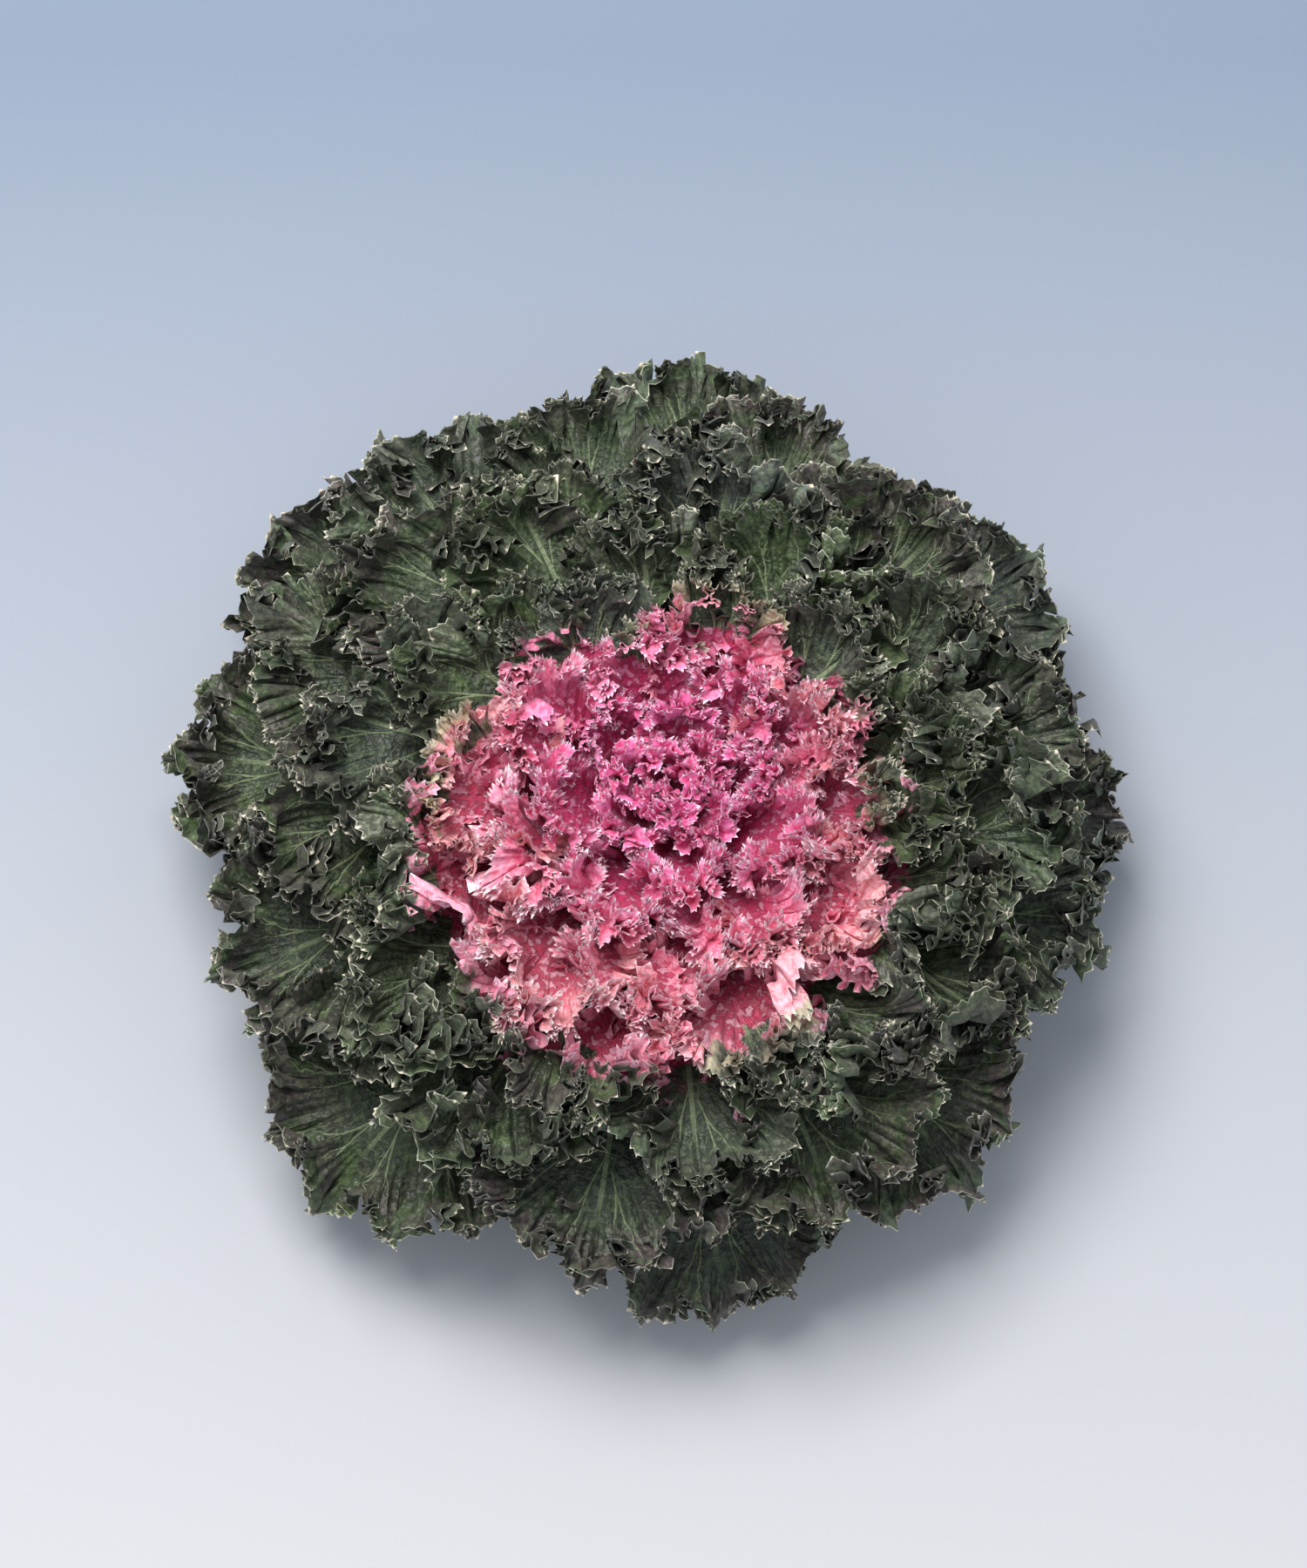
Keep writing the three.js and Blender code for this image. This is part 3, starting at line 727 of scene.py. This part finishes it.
def leaf_mesh(plan, count, frill):
    """One leaf as a closed skin. The middle surface is lifted by a fifth of its thickness and
    lowered by the rest, so the midrib stands out below. The two faces thin out to the margin, which
    they share. The blade's inner rows keep fewer columns than its margin does."""
    blade, up, finish = blade_grid(plan, count, frill)
    rows, columns = blade.shape[:2]
    kept = np.arange(columns)[None, :] % ROW_STRIDES[:, None] == 0
    number = np.where(kept, np.cumsum(kept).reshape(kept.shape) - 1, -1)
    number[0] = np.where(kept[0], np.minimum(number[0], number[0][::-1]), -1)
    laid = across_rows(plan["laid"], plan["rows"], ROW_STEPS)
    neck_depth = np.concatenate([laid[:0:-1, 0], laid[:, -1]])
    stem, stem_x, stem_y, across = petiole_grid(plan, neck_depth)
    stem_number = int(kept.sum()) + np.arange(stem_x.size).reshape(stem_x.shape)
    neck = np.concatenate([number[:0:-1, 0], number[:, -1]])
    neck[rows - 1] = number[0, 0]

    up[0] = unit(up[0] + up[0][::-1])
    stem_up = unit(np.cross(np.gradient(stem, axis=1), np.gradient(stem, axis=0)))
    flat_x, flat_y = finish["flat"][..., 2], finish["flat"][..., 1]
    thick = blade_thickness(plan, flat_x, flat_y, finish["vein"][..., 1])
    round_stem = plan["foot_thickness"] * np.sqrt(np.maximum(0.0, 1.0 - across**2))
    near = smooth(stem_y / plan["length"], 0.12, PETIOLE_SHARE)
    at_neck = np.concatenate([thick[:0:-1, 0], thick[:, -1]])[None, :]
    stem_thick = np.maximum(BLADE_THICKNESS, round_stem) * (1.0 - near) + at_neck * near
    thick[-1] = 0.0

    middle = np.concatenate([blade[kept], stem.reshape(-1, 3)])
    normal = np.concatenate([up[kept], stem_up.reshape(-1, 3)])
    through_leaf = np.concatenate([thick[kept], stem_thick.ravel()])[:, None]
    upper = middle + ABOVE_MIDDLE * through_leaf * normal
    lower = middle - (1.0 - ABOVE_MIDDLE) * through_leaf * normal
    points = np.concatenate([upper, lower])
    points[:, 2] = np.maximum(points[:, 2], LOWEST_POINT)

    total = len(middle)
    below = np.arange(total) + total
    below[number[-1]] = number[-1]
    strips = []
    for k, ratio in enumerate(ROW_STRIDES[:-1] // ROW_STRIDES[1:]):
        strips.append(strip_faces(number[k][kept[k]], number[k + 1][kept[k + 1]], ratio))
    stem_rows = np.concatenate([stem_number, neck[None, :]])
    for inner, outer in zip(stem_rows[:-1], stem_rows[1:]):
        strips.append(strip_faces(inner, outer, 1))
    skin = np.concatenate(strips)
    side, foot, other_side = stem_number[::-1, -1], stem_number[0, -2:0:-1], stem_number[:, 0]
    border = np.concatenate([number[-1, -1:], side, foot, other_side, number[-1, :1]])
    faces = np.concatenate([skin, below[skin[:, ::-1]], rim_faces(border, below)])

    apart = finish["flat"][0, 0, 0] - flat_x[0, 0]
    stem_values = {
        "rim": np.tile([30.0, 0.0], (stem_x.size, 1)),
        "vein": np.tile([0.0, 0.0, 1.0], (stem_x.size, 1)),
        "flat": np.stack([stem_x + apart, stem_y, stem_x], axis=-1).reshape(-1, 3),
    }
    values = {key: np.concatenate([finish[key][kept], stem_values[key]] * 2) for key in finish}
    under = np.repeat([0.0, 1.0], total)[:, None]
    values["rim"] = np.concatenate([values["rim"], under], axis=1)
    used = np.unique(faces)
    points, faces = points[used], np.searchsorted(used, faces)
    return points, outward_faces(points, faces), {key: data[used] for key, data in values.items()}


# ---- leaf finishes ---------------------------------------------------------------------------
# Pale veins fork on their way from the midrib to the margin, with a fine net between them, and
# the margin ends in a thin pale rim. Green leaves are dark and slightly waxy. Towards the crown
# they turn cream along the margins and then rose all over, deepest at the heart. Painted light
# makes each blade's outer band and the crimps' crests lighter, and painted shade darkens its
# inner rows and the crimps' hollows. Painted light also makes the leaves greener and lighter
# towards the back, and a painted bluish reflection lies on some of them, more towards the back.
ROSE_PATCH = (10.0, -28.0)
ROSE_PATCH_RADIUS = 86.0
ROSE_HEIGHTS = (66.0, 90.0)  # no rose on the leaf stalks below these heights
HEART_CENTRE = (14.0, 8.0)
HEART_RADII = (20.0, 100.0)


def attribute_parts(tree, name):
    """The three parts of a vector attribute, and the whole vector."""
    vector = add_node(tree, "ShaderNodeAttribute", attribute_name=name).outputs["Vector"]
    return *add_node(tree, "ShaderNodeSeparateXYZ", (vector,)).outputs, vector


def leaf_marks():
    """A group that reads a leaf's own coordinates and puts out masks: veins, net, rim, tooth tips,
    three sets of blotches and the crests and hollows of the crimped skin, which the leaf colours
    use for painted highlight and painted shade, and two heights. A vein starts on each large
    crest. It forks twice on its way to the margin: the distance to it is folded back on itself
    there. The net is the edges of two sets of cells, and the rim grows from the distance to the
    margin."""
    tree = bpy.data.node_groups.new("leaf marks", "ShaderNodeTree")
    for label in ("Vein Width", "Rim Width", "Net Size", "Tip Start"):
        tree.interface.new_socket(name=label, in_out="INPUT", socket_type="NodeSocketFloat")
    masks = ("Veins", "Net", "Rim", "Tips", "Blotches", "Fresh", "Dusk", "Raised", "Sunk")
    for label in (*masks, "Vein Height", "Crimp Height"):
        tree.interface.new_socket(name=label, in_out="OUTPUT", socket_type="NodeSocketFloat")
    vein_width, rim_width, net_size, tip_start, _ = add_node(tree, "NodeGroupInput").outputs
    math_node, step = partial(formula, tree), partial(remap, tree)
    wave, row, pitch, _ = attribute_parts(tree, "vein")
    _, _, flat_x, flat = attribute_parts(tree, "flat")
    edge, tip, _, _ = attribute_parts(tree, "rim")

    def flat_noise(scale, detail):
        inputs = {"Vector": flat, "Scale": scale, "Detail": detail}
        return add_node(tree, "ShaderNodeTexNoise", inputs, noise_dimensions="2D").outputs

    def net(size, low):
        cells = add_node(
            tree,
            "ShaderNodeTexVoronoi",
            {"Vector": flat, "Scale": math_node("DIVIDE", 1.0, size)},
            feature="DISTANCE_TO_EDGE",
            voronoi_dimensions="2D",
        )
        return step(cells.outputs["Distance"], low, 0.01)

    sway = math_node("MULTIPLY", math_node("SUBTRACT", flat_noise(0.09, 2.0)[0], 0.5), 0.5)
    wave = math_node("ADD", wave, math_node("MULTIPLY", sway, row))
    beside = math_node("PINGPONG", wave, 1.0)
    for start, spread in ((0.26, 0.85), (0.5, 0.6)):
        fork = math_node("MULTIPLY", math_node("SUBTRACT", row, start, clamp=True), spread)
        beside = math_node("ABSOLUTE", math_node("SUBTRACT", beside, fork))
    beside = math_node("MULTIPLY", beside, pitch)
    taper = math_node("MULTIPLY", math_node("SUBTRACT", 1.0, row, clamp=True), vein_width)
    width = math_node("MULTIPLY", vein_width, 0.35)
    width = math_node("ADD", math_node("MULTIPLY", taper, 0.8), width)
    veins = step(math_node("DIVIDE", beside, width), 1.0, 0.35)
    rib_width = math_node("MULTIPLY", vein_width, 1.7)
    off_midrib = math_node("DIVIDE", math_node("ABSOLUTE", flat_x), rib_width)
    midrib = math_node("MULTIPLY", step(off_midrib, 1.0, 0.5), step(row, 0.5, 0.1))
    veins = math_node("MAXIMUM", veins, midrib)

    fine = net(math_node("MULTIPLY", net_size, 0.4), 0.14)
    netted = math_node("MAXIMUM", net(net_size, 0.1), math_node("MULTIPLY", fine, 0.4))
    netted = math_node("MULTIPLY", netted, step(row, 0.75, 0.5))

    ragged = math_node("ADD", flat_noise(0.55, 2.0)[0], 0.5)
    rim = step(math_node("DIVIDE", edge, math_node("MULTIPLY", rim_width, ragged)), 1.1, 0.5)
    tips = step(tip, tip_start, math_node("ADD", tip_start, 0.3))
    blotches = add_node(tree, "ShaderNodeSeparateColor", (flat_noise(0.06, 4.0)["Color"],)).outputs

    place = add_node(tree, "ShaderNodeTexCoord").outputs["Object"]
    grain = {"Vector": place, "Scale": 330.0, "Detail": 1.0}
    crimp = add_node(tree, "ShaderNodeTexNoise", grain).outputs[0]
    # Crests and hollows of the crimp pattern: masks for painted highlight and painted shade.
    painted_crest_highlight, painted_hollow_shade = step(crimp, 0.52, 0.64), step(crimp, 0.48, 0.36)
    vein_height = math_node("MULTIPLY", netted, -0.35)
    vein_height = math_node("ADD", math_node("MULTIPLY", veins, -1.0), vein_height)
    marks = (veins, netted, rim, tips, *blotches, painted_crest_highlight, painted_hollow_shade, vein_height, crimp)
    add_node(tree, "NodeGroupOutput", marks)
    return tree


LEAF_MARKS = leaf_marks()


def leaf_material(name, vein_width, rim_width, net_size, tip_start, sheen):
    """The finish of one kind of leaf: green and rose are each a base colour with layers laid on it
    in turn, and the rose patch blends the two. The attribute tone says how rose (first part) and
    how cream (second part) each point is, and the third part sets each leaf's own freshness and
    the painted light that makes the leaves greener and lighter towards the back. The layers
    include painted light and painted shade: lighter outer bands and crimp crests, darker inner
    rows and crimp hollows, and a painted bluish reflection."""
    material, tree = new_material(name)
    math_node, mix, step = partial(formula, tree), partial(blend_colour, tree), partial(remap, tree)
    marks = add_node(tree, "ShaderNodeGroup", node_tree=LEAF_MARKS)
    for socket, value in zip(marks.inputs, (vein_width, rim_width, net_size, tip_start)):
        socket.default_value = value
    veins, netted, rim, tips, blotches, fresh_and_painted_light, dusk, *others = marks.outputs
    painted_crest_highlight, painted_hollow_shade, vein_height, crimp = others
    rose, cream, luck_and_painted_light, _ = attribute_parts(tree, "tone")
    painted_blue_reflection, heart, purple, _ = attribute_parts(tree, "tint")
    _, _, under, _ = attribute_parts(tree, "rim")
    _, row, _, _ = attribute_parts(tree, "vein")

    patchy = step(blotches, 0.35, 0.65)
    # The outer band and the inner rows of a blade: masks for painted light on the band, and painted
    # shade on the rows that the leaves above would shade.
    outer, inner = step(row, 0.35, 0.95), step(row, 0.75, 0.35)
    # Each leaf's own freshness in random patches, with painted light that grows towards the back.
    fresh_and_painted_light = math_node("MAXIMUM", step(fresh_and_painted_light, 0.52, 0.7), math_node("MULTIPLY", luck_and_painted_light, 0.6))
    dusk = math_node("MULTIPLY", purple, step(dusk, 0.36, 0.54))
    near_rim = math_node("MULTIPLY", rose, math_node("SUBTRACT", 1.0, rose, clamp=True))
    shift = math_node("MULTIPLY", math_node("SUBTRACT", blotches, 0.5), 9.0)
    rose = math_node("ADD", rose, math_node("MULTIPLY", near_rim, shift))
    fringe = math_node("MULTIPLY", math_node("MULTIPLY", step(rose, 0.02, 0.3), cream), 1.6)
    fringe = math_node("MULTIPLY", fringe, step(row, 0.5, 0.85), clamp=True)
    rose = step(rose, 0.38, 0.56)

    def layered(colour, layers):
        """The colour with each layer laid on it: a mask, its strength and the layer's colour, or
        its two colours, at the patch's rim and at its heart."""
        for mask, strength, *over in layers:
            over = mix(heart, *over) if len(over) == 2 else over[0]
            colour = mix(math_node("MULTIPLY", mask, strength), colour, over)
        return colour

    green = layered(
        mix(patchy, (0.019, 0.031, 0.013), (0.036, 0.056, 0.020)),
        (
            # Lighter green: each leaf's own freshness, with painted light towards the back.
            (fresh_and_painted_light, 0.8, (0.080, 0.145, 0.030)),
            # Painted reflection: a bluish-grey cast of the bluish light.
            (painted_blue_reflection, 1.0, (0.080, 0.098, 0.104)),
            (dusk, 1.0, (0.085, 0.036, 0.066)),
            (under, 0.45, (0.10, 0.12, 0.09)),
            # Painted light on each blade's outer band, then painted shade on its inner rows.
            (outer, 0.28, (0.13, 0.17, 0.09)),
            (inner, 0.5, (0.008, 0.013, 0.007)),
            # Painted shade in the crimps' hollows, then painted highlight on their crests.
            (painted_hollow_shade, 0.45, (0.010, 0.016, 0.009)),
            (painted_crest_highlight, 0.2, (0.22, 0.29, 0.14)),
            (netted, 0.22, (0.12, 0.16, 0.07)),
            (veins, 0.7, (0.25, 0.31, 0.17)),
            (fringe, 1.0, (0.70, 0.60, 0.42)),
            (rim, 0.8, (0.56, 0.57, 0.46)),
            (tips, 1.0, (0.78, 0.70, 0.56)),
        ),
    )
    deep = mix(heart, (0.94, 0.08, 0.21), (0.92, 0.015, 0.24))
    light = mix(heart, (0.97, 0.30, 0.46), (0.95, 0.11, 0.42))
    pink = layered(
        mix(patchy, deep, light),
        (
            # Painted light on each blade's outer band.
            (outer, 0.6, (0.97, 0.52, 0.64), (0.96, 0.32, 0.62)),
            (cream, 1.0, (0.90, 0.56, 0.50)),
            # Painted shade on the inner rows.
            (inner, 0.88, (0.24, 0.012, 0.04), (0.32, 0.007, 0.07)),
            # Painted shade in the crimps' hollows, then painted highlight on their crests.
            (painted_hollow_shade, 0.45, (0.66, 0.03, 0.11), (0.68, 0.01, 0.15)),
            (painted_crest_highlight, 0.5, (0.97, 0.60, 0.72), (0.96, 0.40, 0.68)),
            (veins, 0.5, (0.55, 0.07, 0.14), (0.46, 0.01, 0.12)),
            (netted, 0.2, (0.60, 0.08, 0.20)),
            (rim, 0.75, (0.96, 0.66, 0.72), (0.95, 0.52, 0.74)),
            (tips, 1.0, (0.98, 0.86, 0.88), (0.98, 0.78, 0.90)),
        ),
    )

    shallow = {"Strength": 0.8, "Distance": 0.0018, "Height": crimp}
    crimps = add_node(tree, "ShaderNodeBump", shallow).outputs[0]
    grooves = {"Strength": 0.7, "Distance": 0.0008, "Height": vein_height, "Normal": crimps}
    ribs = add_node(tree, "ShaderNodeBump", grooves).outputs[0]
    rough = math_node("ADD", math_node("MULTIPLY", patchy, 0.12), 0.42)
    shader = add_node(
        tree,
        "ShaderNodeBsdfPrincipled",
        {
            "Base Color": mix(rose, green, pink),
            "Roughness": math_node("ADD", rough, math_node("MULTIPLY", under, 0.15)),
            "Sheen Weight": sheen,
            "Sheen Roughness": 0.5,
            "Normal": ribs,
        },
    )
    add_node(tree, "ShaderNodeOutputMaterial", (shader.outputs[0],))
    return material


def leaf_tones(plan, points, values):
    """How rose, cream, green and purple each point of a leaf is, and where painted light and a
    painted bluish reflection lie on it. The rose patch is round: a leaf that reaches across its rim
    turns green there, a little further out on its frills than between its ribs. Cream is strongest
    on the leaves of that rim. Each leaf has its own freshness, and painted light makes the leaves
    greener and lighter towards the back, where the painted bluish reflection also grows. Leaves are
    more purple to the left."""
    draw = np.random.default_rng(3000 + plan["leaf"])
    row = values["vein"][:, 1]
    frills = smooth(row, 0.3, 0.9)
    outside = (plan["from_rose"] - ROSE_RADIUS) / ROSE_RADIUS
    reach = ROSE_PATCH_RADIUS + draw.uniform(-9.0, 9.0) + 9.0 * row
    from_patch = np.hypot(points[:, 0] - ROSE_PATCH[0], points[:, 1] - ROSE_PATCH[1])
    rose = (1.0 - smooth(from_patch - reach, -14.0, 14.0)) * smooth(points[:, 2], *ROSE_HEIGHTS)
    border = 0.0 if plan["in_bud"] else math.exp(-((outside / 0.2) ** 2))
    cream = border * draw.uniform(0.0, 0.9) * (0.4 + 0.6 * frills)
    luck_and_painted_light = draw.uniform(0.15, 1.0) ** 2 * (1.35 - plan["depth"])
    # Painted light: the leaves turn greener and lighter towards the back.
    luck_and_painted_light = luck_and_painted_light + 0.5 * smooth(points[:, 1], 30.0, 150.0)
    from_heart = np.hypot(points[:, 0] - HEART_CENTRE[0], points[:, 1] - HEART_CENTRE[1])
    heart = 1.0 - smooth(from_heart, *HEART_RADII)
    # Painted reflection of the bluish light: on some leaves, and more towards the back.
    painted_blue_reflection = 0.75 * draw.uniform(0.0, 1.0) ** 3 + 0.25 * smooth(points[:, 1], 60.0, 190.0)
    purple = draw.uniform(0.2, 0.9) * (0.4 + plan["depth"])
    purple = np.minimum(1.0, purple + 0.3 * smooth(-points[:, 0], 60.0, 170.0)) * frills
    return {
        "tone": np.stack([rose, cream, luck_and_painted_light], axis=-1),
        "tint": np.stack([painted_blue_reflection, heart, purple], axis=-1),
    }


# ---- green leaves ----------------------------------------------------------------------------
# Forty-three broad leaves form the rosette, darkest and largest below. The last ones before the
# crown have cream and rose in their frills.
GREEN_FRILL = {
    "from": 0.28,  # row at which the blade starts to roll up
    "roll": 1.4,  # the angle it rolls through, in radians
    "roll_swing": 0.3,
    # Each fold's length along the margin, its heading's swing in radians, and its first row.
    "folds": ((13.5, 1.75, 0.05), (3.9, 1.65, 0.3), (1.5, 1.2, 0.64)),
    "fold_columns": 5,
    "outer_calm": 0.05,
    "notch": 5.0,
    "tooth": 1.3,
    "tooth_columns": 2,
}
CROWN_FRILL = GREEN_FRILL | {
    "from": 0.2,
    "roll": 1.32,
    "folds": ((10.8, 1.8, 0.0), (3.2, 1.7, 0.26), (1.3, 1.3, 0.6)),
    "outer_calm": 0.0,
    "notch": 3.6,
    "tooth": 1.7,
}
NEAR_CROWN = 1.3 * ROSE_RADIUS  # green leaves whose tips are nearer are frilled like rose ones
NEAR_CROWN_COLUMNS = 1128
COLUMN_STEP = 24  # both halves of a leaf keep whole strides, so a count is a multiple of this
green_leaf_skin = leaf_material(
    "green_leaf_skin", vein_width=0.9, rim_width=0.52, net_size=5.0, tip_start=0.6, sheen=0.1
)

green_plans = [plan for plan in plans if not plan["rose"] and not plan["in_bud"]]
for number, plan in enumerate(green_plans, 1):
    if plan["from_rose"] < NEAR_CROWN:
        points, faces, values = leaf_mesh(plan, NEAR_CROWN_COLUMNS, CROWN_FRILL)
    else:
        columns = COLUMN_STEP * round((480.0 + 2.6 * plan["length"]) / COLUMN_STEP)
        points, faces, values = leaf_mesh(plan, columns, GREEN_FRILL)
    values |= leaf_tones(plan, points, values)
    node = f"green_leaf_{number:02d}"
    leaf = new_piece(node + "_finish", points, faces, green_leaf_skin, values)
    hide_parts(node)

# ---- rose leaves -----------------------------------------------------------------------------
# Fifteen shorter leaves fill the crown. They have hardly any green in them, and their margins are
# so frilled that little else shows.
ROSE_COLUMNS = 1440
rose_leaf_skin = leaf_material(
    "rose_leaf_skin", vein_width=0.6, rim_width=0.9, net_size=3.0, tip_start=0.3, sheen=0.16
)

rose_plans = [plan for plan in plans if plan["rose"] and not plan["in_bud"]]
for number, plan in enumerate(rose_plans, 1):
    points, faces, values = leaf_mesh(plan, ROSE_COLUMNS, CROWN_FRILL)
    values |= leaf_tones(plan, points, values)
    node = f"rose_leaf_{number:02d}"
    leaf = new_piece(node + "_finish", points, faces, rose_leaf_skin, values)
    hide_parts(node)

# ---- bud -------------------------------------------------------------------------------------
# Eight very young leaves stand curled round each other on the stalk's tip, deep magenta.
BUD_COLUMNS = 576
BUD_FRILL = CROWN_FRILL | {"roll": 0.6, "tooth": 1.3}
bud_skin = leaf_material(
    "bud_skin", vein_width=0.5, rim_width=0.7, net_size=2.5, tip_start=0.3, sheen=0.16
)

young = []
for plan in [plan for plan in plans if plan["in_bud"]]:
    points, faces, values = leaf_mesh(plan, BUD_COLUMNS, BUD_FRILL)
    young.append((points, faces, values | leaf_tones(plan, points, values)))
starts = np.cumsum([0] + [len(points) for points, _, _ in young])
bud = new_piece(
    "bud_finish",
    np.concatenate([points for points, _, _ in young]),
    np.concatenate([faces + start for (_, faces, _), start in zip(young, starts)]),
    bud_skin,
    {key: np.concatenate([values[key] for _, _, values in young]) for key in young[0][2]},
)
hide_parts("bud")

# ---- floor, light and camera -----------------------------------------------------------------
# A seamless pale sheet under one broad soft light from above and behind, with a weak fill all
# round. Its colour is graded from blue-grey behind to nearly white in front: painted shade, darker
# towards the back. Here all lengths are metres.
FLOOR_HALF = 4.0
FLOOR_FRONT, FLOOR_BACK = -0.30, 0.36  # where the sheet's colour starts and stops changing
LIGHT_PLACE, LIGHT_TARGET = (-0.4, 0.7, 2.0), (0.0, 0.0, 0.06)
PICTURE_WIDTH = 1500.0
PIXELS_PER_METRE = 2820.0
SENSOR_WIDTH = 36.0
DISTANCE = 2.2
ELEVATION = math.radians(76.0)
AIM = (0.0073, 0.0, 0.075)
AIM_UP = 0.0121  # the camera aims this far above that place, square to its view

corners = [(-1, -1, 0), (1, -1, 0), (1, 1, 0), (-1, 1, 0)]
floor_mesh = bpy.data.meshes.new("floor")
floor_mesh.from_pydata(FLOOR_HALF * np.array(corners), [], [(0, 1, 2, 3)])
floor = bpy.data.objects.new("floor", floor_mesh)
bpy.context.scene.collection.objects.link(floor)
paper, tree = new_material("paper")
place = add_node(tree, "ShaderNodeTexCoord").outputs["Object"]
depth = add_node(tree, "ShaderNodeSeparateXYZ", (place,)).outputs["Y"]
# Painted shade: the sheet turns darker and bluer towards the back.
back = add_node(tree, "ShaderNodeMapRange", (depth, FLOOR_FRONT, FLOOR_BACK)).outputs[0]
shader = add_node(
    tree,
    "ShaderNodeBsdfPrincipled",
    {
        "Base Color": blend_colour(tree, back, (0.6, 0.604, 0.627), (0.24, 0.29, 0.386)),
        "Roughness": 0.9,
        "Specular IOR Level": 0.1,
    },
)
add_node(tree, "ShaderNodeOutputMaterial", (shader.outputs[0],))
floor_mesh.materials.append(paper)

world = bpy.data.worlds.new("soft room")
bpy.context.scene.world = world
world.use_nodes = True
world.node_tree.nodes["Background"].inputs[0].default_value = (0.86, 0.92, 1.0, 1.0)
world.node_tree.nodes["Background"].inputs[1].default_value = 0.55

lamp = bpy.data.lights.new("key", "AREA")
lamp.size, lamp.energy, lamp.color = 1.15, 46.0, (1.0, 0.98, 0.95)
key = bpy.data.objects.new("key", lamp)
key.location = LIGHT_PLACE
beam = Vector(np.array(LIGHT_TARGET) - np.array(LIGHT_PLACE))
key.rotation_euler = beam.to_track_quat("-Z", "Y").to_euler()
bpy.context.scene.collection.objects.link(key)

back = np.array([0.0, -math.cos(ELEVATION), math.sin(ELEVATION)])
upward = np.array([0.0, math.sin(ELEVATION), math.cos(ELEVATION)])
lens = bpy.data.cameras.new("camera")
lens.sensor_fit = "HORIZONTAL"
lens.sensor_width = SENSOR_WIDTH
lens.lens = SENSOR_WIDTH * PIXELS_PER_METRE * DISTANCE / PICTURE_WIDTH
camera = bpy.data.objects.new("camera", lens)
camera.location = np.array(AIM) + AIM_UP * upward + DISTANCE * back
camera.rotation_euler = Vector(-back).to_track_quat("-Z", "Y").to_euler()
bpy.context.scene.collection.objects.link(camera)
bpy.context.scene.camera = camera

bpy.context.scene.view_settings.view_transform = "Standard"
bpy.context.scene.view_settings.exposure = 0.14
